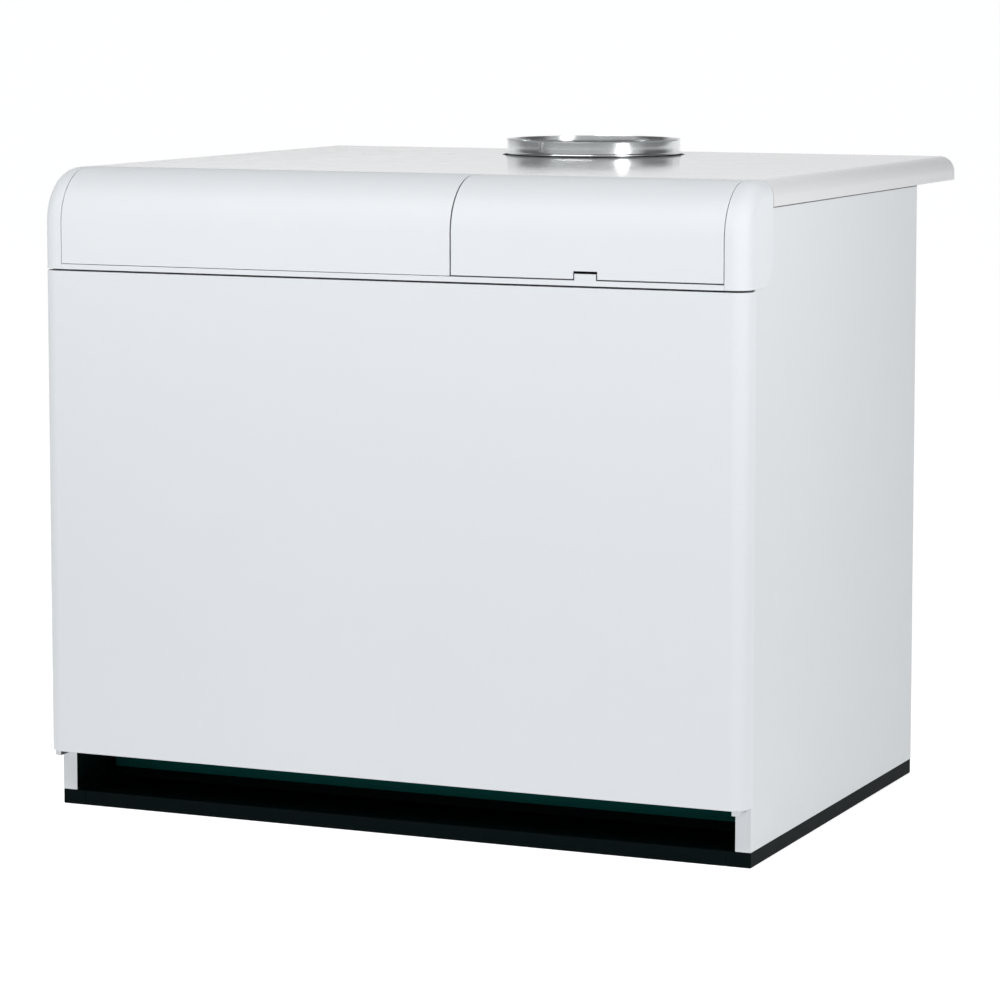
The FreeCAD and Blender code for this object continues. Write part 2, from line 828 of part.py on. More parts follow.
def dials():
    bodies = []
    glasses = []
    for name in ("thermometer", "pressure"):
        x = dial_x(name)
        front_y = dial_y - gauge_depth
        cup = rod("y", (x, front_y, dial_z), gauge_radius, gauge_depth)
        inner = gauge_radius - gauge_rim
        cavity = rod("y", (x, front_y - 1, dial_z), inner, dial_card_depth + 1)
        pin_y = front_y + needle_depth - needle_thickness * 2
        pin = rod("y", (x, pin_y, dial_z), hub_pin, dial_card_depth + 1 - needle_depth + needle_thickness * 2)
        bodies.append(fuse(cut(cup, cavity), pin))
        glasses.append(rod("y", (x, front_y + glass_inset, dial_z), inner - running, glass_thickness))
        hand_y = front_y + needle_depth
        hub = rod("y", (x, hand_y, dial_z), needle_hub, needle_thickness)
        hand = block(
            ends_about(x, needle_width / 2),
            (hand_y, hand_y + needle_thickness),
            (dial_z, dial_z + needle_length),
        )
        hole = rod("y", (x, hand_y - 1, dial_z), hub_pin + running, needle_thickness + 2)
        label = "thermometer_needle" if name == "thermometer" else "pressure_needle"
        node(label, cut(fuse(hub, hand), hole))
    node("dial_bodies", group(*bodies))
    node("dial_glasses", group(*glasses))


def small_controls():
    rocker = doc.addObject("Part::Box", "rocker")
    bind(rocker, "Length", rocker_width)
    bind(rocker, "Width", rocker_depth)
    bind(rocker, "Height", rocker_height)
    centred = doc.addObject("Part::Compound", "rocker_centred")
    centred.Links = [rocker]
    place(rocker, -rocker_width / 2, -rocker_depth / 2, -rocker_height / 2)
    place(centred, dial_x("switch"), dial_y - rocker_depth / 2 + 1, dial_z)
    centred.Placement = Placement(Vector(), Rotation(Vector(1, 0, 0), rocker_tilt.value))
    centred.setExpression("Placement.Rotation.Angle", rocker_tilt.formula)
    node("power_switch", centred)
    front_y = dial_y - button_length + housing_wall - 1
    node("reset_button", rod("y", (dial_x("reset"), front_y, dial_z), button_radius, button_length))
    stem = rod("y", (dial_x("lamp"), dial_y - lamp_radius, dial_z), lamp_radius, lamp_radius)
    dome = doc.addObject("Part::Sphere", "dome")
    bind(dome, "Radius", lamp_radius)
    place(dome, dial_x("lamp"), dial_y - lamp_radius, dial_z)
    node("indicator_lamp", cut(fuse(stem, dome), block_behind_dial()))


def block_behind_dial():
    """Space behind the instrument plate, where the lamp's dome must not reach."""
    x = dial_x("lamp")
    y = (dial_y, dial_y + lamp_radius)
    return block(ends_about(x, lamp_radius), y, ends_about(dial_z, lamp_radius))


def ends_about(middle, reach):
    return middle - reach, middle + reach


def controls():
    control_housing()
    knob("thermostat_knob", "thermostat")
    knob("stage_knob", "stage")
    dials()
    small_controls()
    low = dial_y + housing_wall * 2
    node(
        "control_box",
        block(
            (housing_low + box_margin, housing_high - box_margin),
            (low, block_front - box_gap),
            (fascia_bottom + housing_gap + rail_height + 1, side_top - flange_gap),
        ),
    )


# ---------------------------------------------------------------- cast-iron block

def section(name, x, end=0):
    """One section at x. The middle of its depth is thinner, which leaves the flueways; end is -1 or 1."""
    thick = (pitch - joint_gap) / 2
    thin = thick - web_recess
    left = thick if end < 0 else thin
    right = thick if end > 0 else thin
    outline = [
        (x - thick, block_front),
        (x + thick, block_front),
        (x + thick, block_front + front_rim),
        (x + right, block_front + front_rim),
        (x + right, block_back - rear_rim),
        (x + thick, block_back - rear_rim),
        (x + thick, block_back),
        (x - thick, block_back),
        (x - thick, block_back - rear_rim),
        (x - left, block_back - rear_rim),
        (x - left, block_front + front_rim),
        (x - thick, block_front + front_rim),
    ]
    if end:
        outline = [step for step in outline if abs((step[0] - x).value - end * thick.value) > 0.01 or
                   step[1].value in (block_front.value, block_back.value)]
    pieces = [extrude(name, "XY", outline, block_bottom, block_top)]
    z = (support_top, block_bottom)
    leg_x = (x - leg_width / 2, x + leg_width / 2)
    pieces.append(block(leg_x, (block_front, block_front + leg_depth), z))
    pieces.append(block(leg_x, (block_back - leg_depth, block_back), z))
    if end:
        pieces.append(block(leg_x, (block_front + leg_depth, block_back - leg_depth), z))
        outer = x + thick * end
        lug_x = (outer - lug_thickness, outer) if end > 0 else (outer, outer + lug_thickness)
        for y in (block_front - lug_size, block_back):
            for level in (block_bottom + rod_inset, block_top - rod_inset):
                pieces.append(block(lug_x, (y, y + lug_size), ends_about(level, lug_size / 2)))
    ports = [
        rod("x", (x - pitch / 2, port_y, level), nipple_radius + running, pitch)
        for level in (port_low, port_high)
    ]
    water = block(
        ends_about(x, thin - casting_wall),
        (block_front + water_margin, block_back - water_margin),
        (block_bottom + water_margin, block_top - water_margin),
    )
    bores = [rod("x", (x - pitch / 2, *spot), rod_radius + running, pitch) for spot in rod_places()]
    tools = ports + bores if end else ports
    return cut(fuse(*pieces), water, *tools)


def rod_places():
    levels = (block_bottom + rod_inset, block_top - rod_inset)
    return [(y, z) for y in (block_front - rod_offset, block_back + rod_offset) for z in levels]


def cast_iron_block():
    middles = []
    for index in range(SECTION_COUNT):
        x = pitch * (index + 0.5) - block_half
        if index == 0:
            node("section_left", section("end_section_left", x, -1))
        elif index == SECTION_COUNT - 1:
            node("section_right", section("end_section_right", x, 1))
        else:
            middles.append(section(f"middle_section_{index}", x))
    node("middle_sections", group(*middles))
    nipples = []
    for index in range(1, SECTION_COUNT):
        x = pitch * index - block_half - nipple_length / 2
        for level in (port_low, port_high):
            tube = rod("x", (x, port_y, level), nipple_radius, nipple_length)
            nipples.append(cut(tube, rod("x", (x - 1, port_y, level), nipple_bore, nipple_length + 2)))
    node("nipples", group(*nipples))
    nuts = []
    start = -block_half - rod_overrun
    bars = [rod("x", (start, y, z), rod_radius, (block_half + rod_overrun) * 2) for y, z in rod_places()]
    node("tie_rods", group(*bars))
    for y, z in rod_places():
        for x in (-block_half - nut_height, block_half):
            nut = doc.addObject("Part::Prism", "nut")
            nut.Polygon = 6
            bind(nut, "Circumradius", nut_radius)
            bind(nut, "Height", nut_height)
            place(nut, x, y, z, TURNS["x"])
            nuts.append(cut(nut, rod("x", (x - 1, y, z), rod_radius + running, nut_height + 2)))
    node("tie_rod_nuts", group(*nuts))
    slabs = []
    for x in (block_half + joint_gap, -block_half - joint_gap - slab_thickness):
        slabs.append(block((x, x + slab_thickness), (block_front, block_back), (block_bottom, block_top)))
    node("insulation_slabs", group(*slabs))
    rails = []
    for y in (block_front, block_back - leg_depth):
        bar = block(ends(half - flange_width), (y, y + leg_depth), (plinth_height, support_top))
        hollow = block(
            ends(half),
            (y + plinth_wall, y + leg_depth - plinth_wall),
            (plinth_height + plinth_wall, support_top - plinth_wall),
        )
        rails.append(cut(bar, hollow))
    node("support_rails", group(*rails))


def flue_path():
    opening = ends(hood_half - leg_depth)
    opening_z = (block_top + rod_inset, smoke_top - rod_inset)
    shell = block(ends(block_half), (block_front, hood_front), (block_top, smoke_top))
    inside = block(
        ends(block_half - smoke_wall),
        (block_front + smoke_wall, hood_front - smoke_wall),
        (block_top - 1, smoke_top - smoke_wall),
    )
    rear = block(opening, (hood_front - smoke_wall - 1, hood_front + 1), opening_z)
    hatch_x = block_half - leg_depth * 2
    hatch_y = (block_front + leg_depth, block_back - leg_depth * 4)
    hatch = block(ends(hatch_x), hatch_y, (smoke_top - smoke_wall - 1, smoke_top + 1))
    node("smoke_box", cut(shell, inside, rear, hatch))
    rim = leg_depth / 2
    cover = block(
        ends(hatch_x + rim), (hatch_y[0] - rim, hatch_y[1] + rim), (smoke_top, smoke_top + plate_thickness)
    )
    grips = []
    for side in (-1, 1):
        x = hatch_x / 2 * side
        y = (hatch_y[0] + hatch_y[1]) / 2
        grips.append(rod("z", (x, y, smoke_top + plate_thickness), nut_radius, nut_height))
    node("smoke_box_cover", fuse(cover, *grips))
    y = (hood_front, hood_back)
    hood = block(ends(hood_half), y, (hood_bottom, hood_top))
    hollow = block(
        ends(hood_half - smoke_wall),
        (y[0] + smoke_wall, y[1] - smoke_wall),
        (hood_bottom - 1, hood_top - smoke_wall),
    )
    inlet = block(opening, (hood_front - 1, hood_front + smoke_wall + 1), opening_z)
    outlet = rod("z", (0, flue_y, hood_top - smoke_wall - 1), flue_radius + running, smoke_wall + 2)
    level = hood_bottom + baffle_height
    baffle = block(
        ends(hood_half - smoke_wall), (y[0] + baffle_inset, y[1] - baffle_inset), (level, level + smoke_wall)
    )
    node("draught_hood", fuse(cut(hood, hollow, inlet, outlet), baffle))
    foot = hood_top - smoke_wall
    rise = top + flue_rise - foot
    tube = rod("z", (0, flue_y, foot), flue_radius, rise)
    bead = rod("z", (0, flue_y, top + rest_gap), flue_radius + bead_width, bead_height)
    bore = rod("z", (0, flue_y, foot - 1), flue_radius - flue_wall, rise + 2)
    node("flue_collar", cut(fuse(tube, bead), bore))


def water_side():
    for name, level in (("flow_pipe", port_high), ("return_pipe", port_low)):
        reach = side_back + pipe_stub - block_back
        body = rod("y", (port_x, block_back, level), water_radius, reach - thread_length)
        thread = rod("y", (port_x, block_back, level), water_thread, reach)
        tube = fuse(body, thread)
        bore = rod("y", (port_x, block_back - 1, level), water_radius - water_wall, reach + 2)
        node(name, cut(tube, bore))
    x = -port_x
    block_y = side_back + gauge + drain_gap
    stem = rod("y", (x, block_back, port_low), drain_radius, block_y - block_back)
    body = block(
        ends_about(x, drain_block / 2),
        (block_y, block_y + drain_block),
        ends_about(port_low, drain_block / 2),
    )
    spout = rod("y", (x, block_y + drain_block, port_low), drain_radius, drain_block)
    mouth = rod("y", (x, block_y + drain_block, port_low), drain_radius - drain_wall, drain_block + 1)
    lever_y = block_y + drain_block / 2
    lever_z = port_low + drain_block / 2
    spindle = rod("z", (x, lever_y, lever_z), shaft_radius, lever_thickness + lever_gap * 2)
    node("drain_cock_body", fuse(cut(fuse(stem, body, spout), mouth), spindle))
    low = lever_z + lever_gap
    hub = rod("z", (x, lever_y, low), shaft_radius * 3, lever_thickness)
    arm = block((x - lever_length, x), ends_about(lever_y, lever_width / 2), (low, low + lever_thickness))
    hole = rod("z", (x, lever_y, low - 1), shaft_radius + running, lever_thickness + 2)
    node("drain_cock_lever", cut(fuse(hub, arm), hole))


# ---------------------------------------------------------------- burner assembly

def burner_x(index):
    return pitch * index - block_half


PILOT_TUBE = 3
SIGHT_TUBE = 7


def burner_tube(x):
    """A tube closed at its back end, with a flared mouth that stands out of the front plate."""
    mouth_y = block_front - mouth_stand
    tube_y = mouth_y + mouth_length
    length = block_back - burner_end_gap - tube_y
    tube = rod("y", (x, tube_y, burner_z), burner_radius, length)
    flare = doc.addObject("Part::Cone", "flare")
    bind(flare, "Radius1", mouth_radius)
    bind(flare, "Radius2", burner_radius)
    bind(flare, "Height", mouth_length)
    place(flare, x, mouth_y, burner_z, TURNS["y"])
    throat = doc.addObject("Part::Cone", "throat")
    bind(throat, "Radius1", mouth_radius - burner_wall)
    bind(throat, "Radius2", burner_radius - burner_wall)
    bind(throat, "Height", mouth_length)
    place(throat, x, mouth_y, burner_z, TURNS["y"])
    bore = rod("y", (x, tube_y, burner_z), burner_radius - burner_wall, length - burner_wall)
    return cut(fuse(tube, flare), throat, bore)


def burner_bar():
    spots = range(1, SECTION_COUNT)
    node("burner_tubes", group(*[burner_tube(burner_x(index)) for index in spots]))
    low = manifold_margin - block_half
    bar = rod("x", (low, manifold_y, burner_z), manifold_radius, -low * 2)
    riser = rod("z", (-valve_offset, manifold_y, burner_z), riser_radius, valve_lift)
    hollow = rod(
        "x",
        (low + manifold_wall, manifold_y, burner_z),
        manifold_radius - manifold_wall,
        -low * 2 - manifold_wall * 2,
    )
    riser_bore = rod("z", (-valve_offset, manifold_y, burner_z), riser_radius - manifold_wall, valve_lift + 1)
    node("gas_manifold", cut(fuse(bar, riser), hollow, riser_bore))
    start = manifold_y + manifold_radius
    jets = []
    for index in spots:
        x = burner_x(index)
        body = rod("y", (x, start - injector_seat, burner_z), injector_radius, injector_length)
        bore = rod("y", (x, start - 1, burner_z), injector_bore, injector_length + 2)
        jets.append(cut(body, bore, rod("x", (low, manifold_y, burner_z), manifold_radius, -low * 2)))
    node("injectors", group(*jets))


def probe(x, z, radius):
    return rod("y", (x, block_front - probe_length / 2, z), radius, probe_length)


def burner_front():
    y = (block_front - plate_thickness, block_front)
    plate = block(ends(block_half), y, (support_top, block_bottom))
    through = plate_thickness + 2
    holes = [
        rod("y", (burner_x(index), y[0] - 1, burner_z), burner_radius + rest_gap, through)
        for index in range(1, SECTION_COUNT)
    ]
    x = burner_x(PILOT_TUBE)
    level = burner_z + pilot_lift
    holes.append(rod("y", (x, y[0] - 1, level), pilot_radius + running, through))
    for side in (-1, 1):
        probe_x = x + electrode_offset * side
        holes.append(rod("y", (probe_x, y[0] - 1, level), electrode_radius + running, through))
    sight_x = burner_x(SIGHT_TUBE)
    sight_z = burner_z + sight_lift
    holes.append(rod("y", (sight_x, y[0] - 1, sight_z), sight_radius, through))
    pin_z = sight_z + cover_pivot
    pin_y = y[0] - cover_thickness - 1.5
    pin = rod("y", (sight_x, pin_y, pin_z), cover_pin, y[0] - pin_y)
    node("burner_front_plate", fuse(cut(plate, *holes), pin))
    cover_y = y[0] - cover_thickness - rest_gap
    disc = rod("y", (sight_x, cover_y, sight_z), sight_radius + 4, cover_thickness)
    boss = rod("y", (sight_x, cover_y, pin_z), cover_boss, cover_thickness)
    neck = block(
        ends_about(sight_x, cover_boss), (cover_y, cover_y + cover_thickness), (sight_z, pin_z)
    )
    hole = rod("y", (sight_x, cover_y - 1, pin_z), cover_pin + running, cover_thickness + 2)
    node("sight_hole_cover", cut(fuse(disc, boss, neck), hole))
    node("pilot_burner", probe(x, level, pilot_radius))
    probes = [probe(x + electrode_offset * side, level, electrode_radius) for side in (-1, 1)]
    node("electrodes", group(*probes))


def gas_train():
    low_z = burner_z + valve_lift
    x = ends_about(-valve_offset, valve_width / 2)
    body = block(x, ends_about(manifold_y, valve_depth / 2), (low_z, low_z + valve_height))
    coils = []
    for side in (-1, 1):
        coil_x = valve_width / 4 * side - valve_offset
        coils.append(rod("z", (coil_x, manifold_y, low_z + valve_height), coil_radius, coil_height))
    node("gas_valve", fuse(body, *coils))

    reach = side_back + pipe_stub - manifold_y - gas_elbow

    def runs(radius, length):
        along = rod("y", (gas_x, manifold_y + gas_elbow, gas_z), radius, length)
        across = rod("x", (gas_x + gas_elbow, manifold_y, gas_z), radius, x[0] - gas_x - gas_elbow)
        bend = doc.addObject("Part::Torus", "bend")
        bind(bend, "Radius1", gas_elbow)
        bind(bend, "Radius2", radius)
        bend.Angle3 = 90
        place(bend, gas_x + gas_elbow, manifold_y + gas_elbow, gas_z, Rotation(Vector(0, 0, 1), 180))
        return fuse(along, bend, across)

    thread = rod("y", (gas_x, manifold_y + gas_elbow, gas_z), gas_thread, reach)
    bore = runs(gas_radius - gas_wall, reach + 1)
    node("gas_supply_pipe", cut(fuse(runs(gas_radius, reach - thread_length), thread), bore))


def lower_plates():
    y = (block_front - gauge, block_front)
    z = (plinth_height + kick_lift, support_top)
    node("kick_plate", block(ends(half - flange_width), y, z))
    pan_y = (flange + plinth_width, side_back - plinth_width)
    node("base_pan", block(ends(half - plinth_width), pan_y, (plinth_wall, plinth_wall + smoke_wall)))


plinth()
right_panel = side_panel()
node("side_panel_right", right_panel)
node("side_panel_left", mirror(right_panel))
rear_panels()
cable_glands()
top_cover()
front_door()
door_lugs()
fascia()
controls()
cast_iron_block()
flue_path()
water_side()
burner_bar()
burner_front()
gas_train()
lower_plates()
doc.recompute()

for thing in doc.Objects:
    faults = [state for state in thing.State if state in ("Invalid", "Error")]
    if faults:
        raise RuntimeError(f"{thing.Name} failed: {faults}")
for piece in nodes:
    if piece.Shape.isNull() or not piece.Shape.isValid():
        raise RuntimeError(f"{piece.Label} has no valid shape")
os.makedirs("parts", exist_ok=True)
for piece in nodes:
    piece.Shape.exportStep(f"parts/{piece.Label}.step")
print(len(nodes), "nodes written")
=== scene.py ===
import json
import random
from math import cos, pi, radians, sin, tau

import bmesh
import bpy
from mathutils import Euler, Matrix, Vector

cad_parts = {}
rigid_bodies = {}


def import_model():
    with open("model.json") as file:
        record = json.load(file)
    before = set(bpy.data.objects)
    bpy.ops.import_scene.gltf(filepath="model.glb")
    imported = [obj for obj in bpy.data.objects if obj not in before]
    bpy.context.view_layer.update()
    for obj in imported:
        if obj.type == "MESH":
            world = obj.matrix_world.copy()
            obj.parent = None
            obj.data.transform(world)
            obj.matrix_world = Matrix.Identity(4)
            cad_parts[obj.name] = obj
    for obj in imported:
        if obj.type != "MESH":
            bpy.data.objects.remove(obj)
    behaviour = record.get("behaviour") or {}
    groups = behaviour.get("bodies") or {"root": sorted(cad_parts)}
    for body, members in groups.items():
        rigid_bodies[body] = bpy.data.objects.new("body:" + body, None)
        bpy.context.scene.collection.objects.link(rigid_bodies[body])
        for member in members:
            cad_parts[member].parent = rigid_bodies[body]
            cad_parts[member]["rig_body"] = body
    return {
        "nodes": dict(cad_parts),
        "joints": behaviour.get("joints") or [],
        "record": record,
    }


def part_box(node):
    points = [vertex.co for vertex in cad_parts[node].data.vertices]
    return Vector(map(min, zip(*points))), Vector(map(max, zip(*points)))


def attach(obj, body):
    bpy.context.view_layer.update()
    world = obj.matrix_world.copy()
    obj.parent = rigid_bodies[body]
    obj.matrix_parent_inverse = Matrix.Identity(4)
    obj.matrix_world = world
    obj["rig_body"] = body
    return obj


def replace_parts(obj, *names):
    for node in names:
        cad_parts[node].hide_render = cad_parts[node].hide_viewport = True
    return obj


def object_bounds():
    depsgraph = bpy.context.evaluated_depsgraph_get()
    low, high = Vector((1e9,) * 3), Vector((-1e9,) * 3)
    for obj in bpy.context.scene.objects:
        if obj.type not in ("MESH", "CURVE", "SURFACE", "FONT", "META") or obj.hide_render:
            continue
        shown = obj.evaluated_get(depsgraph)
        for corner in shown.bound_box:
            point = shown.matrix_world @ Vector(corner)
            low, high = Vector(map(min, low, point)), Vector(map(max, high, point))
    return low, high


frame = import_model()
cad_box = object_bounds()
joints = {joint["name"]: joint for joint in frame["joints"]}
mounts = {mount["name"]: mount for mount in frame["record"]["mounts"]}
chance = random.Random(7)

X, Y, Z = Vector((1, 0, 0)), Vector((0, 1, 0)), Vector((0, 0, 1))
MM = 0.001


# ---------------------------------------------------------------- shader maths

class Value:
    """A shader socket. Arithmetic on it adds Math nodes to its finish."""

    def __init__(self, finish, socket):
        self.finish = finish
        self.socket = socket

    def __add__(self, other):
        return self.finish.maths("ADD", self, other)

    def __sub__(self, other):
        return self.finish.maths("SUBTRACT", self, other)

    def __rsub__(self, other):
        return self.finish.maths("SUBTRACT", other, self)

    def __mul__(self, other):
        return self.finish.maths("MULTIPLY", self, other)

    def __pow__(self, other):
        return self.finish.maths("POWER", self, other)

    def above(self, level):
        return self.finish.maths("GREATER_THAN", self, level)

    def below(self, level):
        return self.finish.maths("LESS_THAN", self, level)

    __radd__ = __add__
    __rmul__ = __mul__


class Finish:
    """A material built from nodes, in the object's own coordinates."""

    def __init__(self, name):
        self.material = bpy.data.materials.new(name)
        self.material.use_nodes = True
        self.tree = self.material.node_tree
        self.tree.nodes.clear()
        self.place = self.add("TexCoord", output="Object")

    def add(self, kind, settings=None, inputs=None, output=0):
        """Adds a node: its settings first, then what its sockets are given."""
        item = self.tree.nodes.new("ShaderNode" + kind)
        settings = dict(settings or {})
        stops = settings.pop("stops", None)
        for name, setting in settings.items():
            setattr(item, name, setting)
        if stops:
            ramp = item.color_ramp.elements
            while len(ramp) < len(stops):
                ramp.new(0.5)
            for stop, (position, shade) in zip(ramp, stops):
                stop.position = position
                stop.color = (*shade, 1) if isinstance(shade, tuple) else (shade, shade, shade, 1)
        for name, given in (inputs or {}).items():
            if isinstance(given, Value):
                self.tree.links.new(given.socket, item.inputs[name])
            else:
                item.inputs[name].default_value = given
        return Value(self, item.outputs[output])

    def maths(self, operation, first, second):
        return self.add("Math", {"operation": operation}, {0: first, 1: second})

    def along(self, axis):
        """The distance along one of the frame's axes, for pieces that never move."""
        position = self.add("NewGeometry", output="Position")
        return self.add("SeparateXYZ", inputs={"Vector": position}, output=axis)

    def stretched(self, scale, turn=(0, 0, 0)):
        return self.add("Mapping", inputs={"Vector": self.place, "Scale": scale, "Rotation": turn})

    def noise(self, scale, detail=2.0, roughness=0.5, place=None):
        inputs = {"Vector": place or self.place, "Scale": scale, "Detail": detail, "Roughness": roughness}
        return self.add("TexNoise", inputs=inputs)

    def cells(self, scale, feature="F1", output="Distance"):
        return self.add("TexVoronoi", {"feature": feature}, {"Vector": self.place, "Scale": scale}, output)

    def ramp(self, value, *stops):
        return self.add("ValToRGB", {"stops": stops}, {"Fac": value})

    def mix(self, factor, first, second):
        """A mix of two colours."""
        first = first if isinstance(first, Value) else (*first, 1)
        second = second if isinstance(second, Value) else (*second, 1)
        return self.add("Mix", {"data_type": "RGBA"}, {0: factor, 6: first, 7: second}, output=2)

    def bump(self, height, depth, strength=1.0, below=None):
        """Turns a height from 0 to 1 into a bump that is depth metres deep."""
        inputs = {"Height": height, "Distance": depth, "Strength": strength}
        if below:
            inputs["Normal"] = below
        return self.add("Bump", inputs=inputs)

    def surface(self, colour, roughness, normal=None, metallic=0.0, **constants):
        """Ends the material in a Principled shader; constants are its own sockets' fixed values."""
        inputs = {
            "Base Color": colour if isinstance(colour, Value) else (*colour, 1),
            "Roughness": roughness,
            "Metallic": metallic,
        }
        if normal:
            inputs["Normal"] = normal
        for name, given in constants.items():
            inputs[name.replace("_", " ").title().replace("Ior", "IOR")] = given
        shader = self.add("BsdfPrincipled", inputs=inputs)
        self.add_output(shader)
        return self.material

    def add_output(self, shader):
        output = self.tree.nodes.new("ShaderNodeOutputMaterial")
        self.tree.links.new(shader.socket, output.inputs["Surface"])


# ---------------------------------------------------------------- finishes

def powder_coat(name, colour, shade, gloss=0.42, shine=0.35, marks=None):
    """Baked paint: a fine orange peel, and a slight drift in colour and gloss."""
    coat = Finish(name)
    drift = coat.noise(2.3, 3)
    cloud = coat.noise(38, 4, 0.6)
    peel = coat.noise(420, 2, 0.45)
    tint = coat.mix(drift, colour, shade)
    if marks:
        tint = marks(coat, tint)
    normal = coat.bump(peel, 0.12 * MM, 0.35)
    return coat.surface(tint, cloud * 0.12 + gloss - 0.06, normal, specular_ior_level=shine)


def side_marks(coat, tint):
    """Painted shade on the side panels: a near-black teal over their inside faces, and a dark line under the
    edge of the top cover.
    """
    low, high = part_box("side_panel_right")
    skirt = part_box("top_cover")[0].z
    skin = 0.8 * MM
    line = 2.2 * MM
    across = coat.maths("ABSOLUTE", coat.along("X"), 0.0)
    height = coat.along("Z")
    # Painted shade: the panels' inside faces are painted a near-black teal.
    inside = across.below(high.x - skin) * coat.along("Y").above(low.y + skin) * height.below(high.z - skin)
    # Painted shade: a dark line is painted on the panel just under the top cover's edge, where a shadow gap
    # would be.
    painted_shade_line = height.above(skirt - line) * (coat.noise(300, 3) * 0.2 + 0.8)
    return coat.mix(inside, coat.mix(painted_shade_line, tint, (0.03, 0.03, 0.03)), (0.002, 0.012, 0.011))


def moulded(name, colour, shade, gloss, grain=900, depth=0.05):
    """Moulded plastic with a fine spark-eroded grain."""
    plastic = Finish(name)
    drift = plastic.noise(9, 3)
    fine = plastic.noise(grain, 2)
    smear = plastic.noise(60, 4, 0.6)
    tint = plastic.mix(drift, colour, shade)
    return plastic.surface(tint, smear * 0.14 + gloss - 0.07, plastic.bump(fine, depth * MM, 0.4))


def zinc_sheet():
    """Hot-dip galvanized sheet with its flat crystals."""
    zinc = Finish("zinc_coated_sheet")
    crystals = zinc.cells(85, output="Color")
    grey = zinc.add("RGBToBW", inputs={"Color": crystals})
    haze = zinc.noise(6, 4, 0.6)
    tint = zinc.mix(grey * 0.6 + haze * 0.3, (0.40, 0.42, 0.43), (0.62, 0.64, 0.65))
    fine = zinc.noise(260, 3)
    return zinc.surface(tint, grey * 0.16 + 0.34, zinc.bump(fine, 0.05 * MM, 0.4), metallic=0.9)


def rolled_flue_steel():
    """Bright rolled sheet, with the fine lines of the rolls running round the tube."""
    steel = Finish("rolled_flue_steel")
    lines = steel.noise(1.0, 3, 0.6, steel.stretched((14, 14, 1500)))
    bands = steel.noise(1.0, 3, 0.6, steel.stretched((26, 26, 1.5)))
    tint = steel.mix(bands, (0.60, 0.62, 0.62), (0.84, 0.86, 0.87))
    rough = lines * 0.08 + bands * 0.10 + 0.09
    return steel.surface(tint, rough, steel.bump(lines, 0.03 * MM, 0.35), metallic=1.0)


def sand_cast_iron():
    """Cast iron as it leaves the sand, with a thin bloom of rust."""
    iron = Finish("sand_cast_iron")
    sand = iron.noise(330, 4, 0.65)
    lumps = iron.noise(45, 3, 0.6)
    bloom = iron.ramp(iron.noise(14, 5, 0.65), (0.50, 0.0), (0.72, 1.0))
    grey = iron.mix(lumps, (0.045, 0.047, 0.05), (0.09, 0.09, 0.092))
    tint = iron.mix(iron.add("RGBToBW", inputs={"Color": bloom}) * 0.45, grey, (0.16, 0.065, 0.03))
    normal = iron.bump(sand, 0.35 * MM, 0.7, iron.bump(lumps, 0.8 * MM, 0.4))
    return iron.surface(tint, lumps * 0.15 + 0.68, normal, metallic=0.25)


def black_pipe():
    """Steel pipe with its dark mill scale."""
    pipe = Finish("black_steel_pipe")
    scale = pipe.noise(70, 5, 0.65)
    fine = pipe.noise(520, 2)
    tint = pipe.mix(scale, (0.055, 0.057, 0.062), (0.15, 0.145, 0.14))
    return pipe.surface(tint, scale * 0.2 + 0.36, pipe.bump(fine, 0.08 * MM, 0.5), metallic=0.75)


def machined(name, dark, light, gloss, lines=900):
    """Turned or drawn metal with fine tool marks and a little tarnish."""
    metal = Finish(name)
    marks = metal.noise(1.0, 3, 0.6, metal.stretched((lines, lines * 0.06, lines * 0.06)))
    tarnish = metal.noise(55, 4, 0.6)
    tint = metal.mix(tarnish, dark, light)
    rough = marks * 0.10 + tarnish * 0.12 + gloss - 0.08
    return metal.surface(tint, rough, metal.bump(marks, 0.03 * MM, 0.35), metallic=1.0)


def heat_stained_steel():
    """Stainless burner steel, straw and blue where the flames have stood."""
    steel = Finish("heat_stained_steel")
    grain = steel.noise(1.0, 3, 0.6, steel.stretched((900, 25, 900)))
    stain = steel.noise(16, 3, 0.55)
    tint = steel.ramp(
        stain, (0.30, (0.50, 0.51, 0.52)), (0.50, (0.46, 0.37, 0.24)), (0.62, (0.30, 0.20, 0.26)),
        (0.76, (0.16, 0.20, 0.36)),
    )
    return steel.surface(tint, grain * 0.12 + 0.26, steel.bump(grain, 0.03 * MM, 0.35), metallic=1.0)


def mineral_fibre():
    """Pressed mineral wool: matted fibres with darker shot."""
    wool = Finish("mineral_fibre")
    strands = wool.noise(1.0, 6, 0.7, wool.stretched((90, 480, 480), (0.3, 0.2, 0.5)))
    crossing = wool.noise(1.0, 6, 0.7, wool.stretched((420, 110, 420), (0.7, 0.1, 0.2)))
    clumps = wool.noise(30, 4, 0.6)
    tint = wool.mix(strands * 0.6 + clumps * 0.4, (0.30, 0.23, 0.10), (0.62, 0.54, 0.34))
    normal = wool.bump(strands, 1.2 * MM, 0.8, wool.bump(crossing, 0.9 * MM, 0.7))
    return wool.surface(tint, clumps * 0.08 + 0.9, normal, specular_ior_level=0.1)


def foil_facing():
    """Aluminium foil glued on a board, with soft creases."""
    foil = Finish("foil_facing")
    creases = foil.cells(26, "DISTANCE_TO_EDGE")
    folds = foil.noise(60, 4, 0.6)
    tint = foil.mix(folds, (0.62, 0.63, 0.65), (0.80, 0.81, 0.82))
    normal = foil.bump(folds, 0.9 * MM, 0.5, foil.bump(creases ** 0.5, 0.6 * MM, 0.5))
    return foil.surface(tint, folds * 0.18 + 0.2, normal, metallic=0.95)


def die_cast(name, dark, light):
    """A die-cast light-alloy body, shot blasted."""
    alloy = Finish(name)
    blast = alloy.noise(700, 3, 0.6)
    flow = alloy.noise(24, 4, 0.6)
    tint = alloy.mix(flow, dark, light)
    return alloy.surface(tint, flow * 0.12 + 0.42, alloy.bump(blast, 0.08 * MM, 0.5), metallic=0.85)


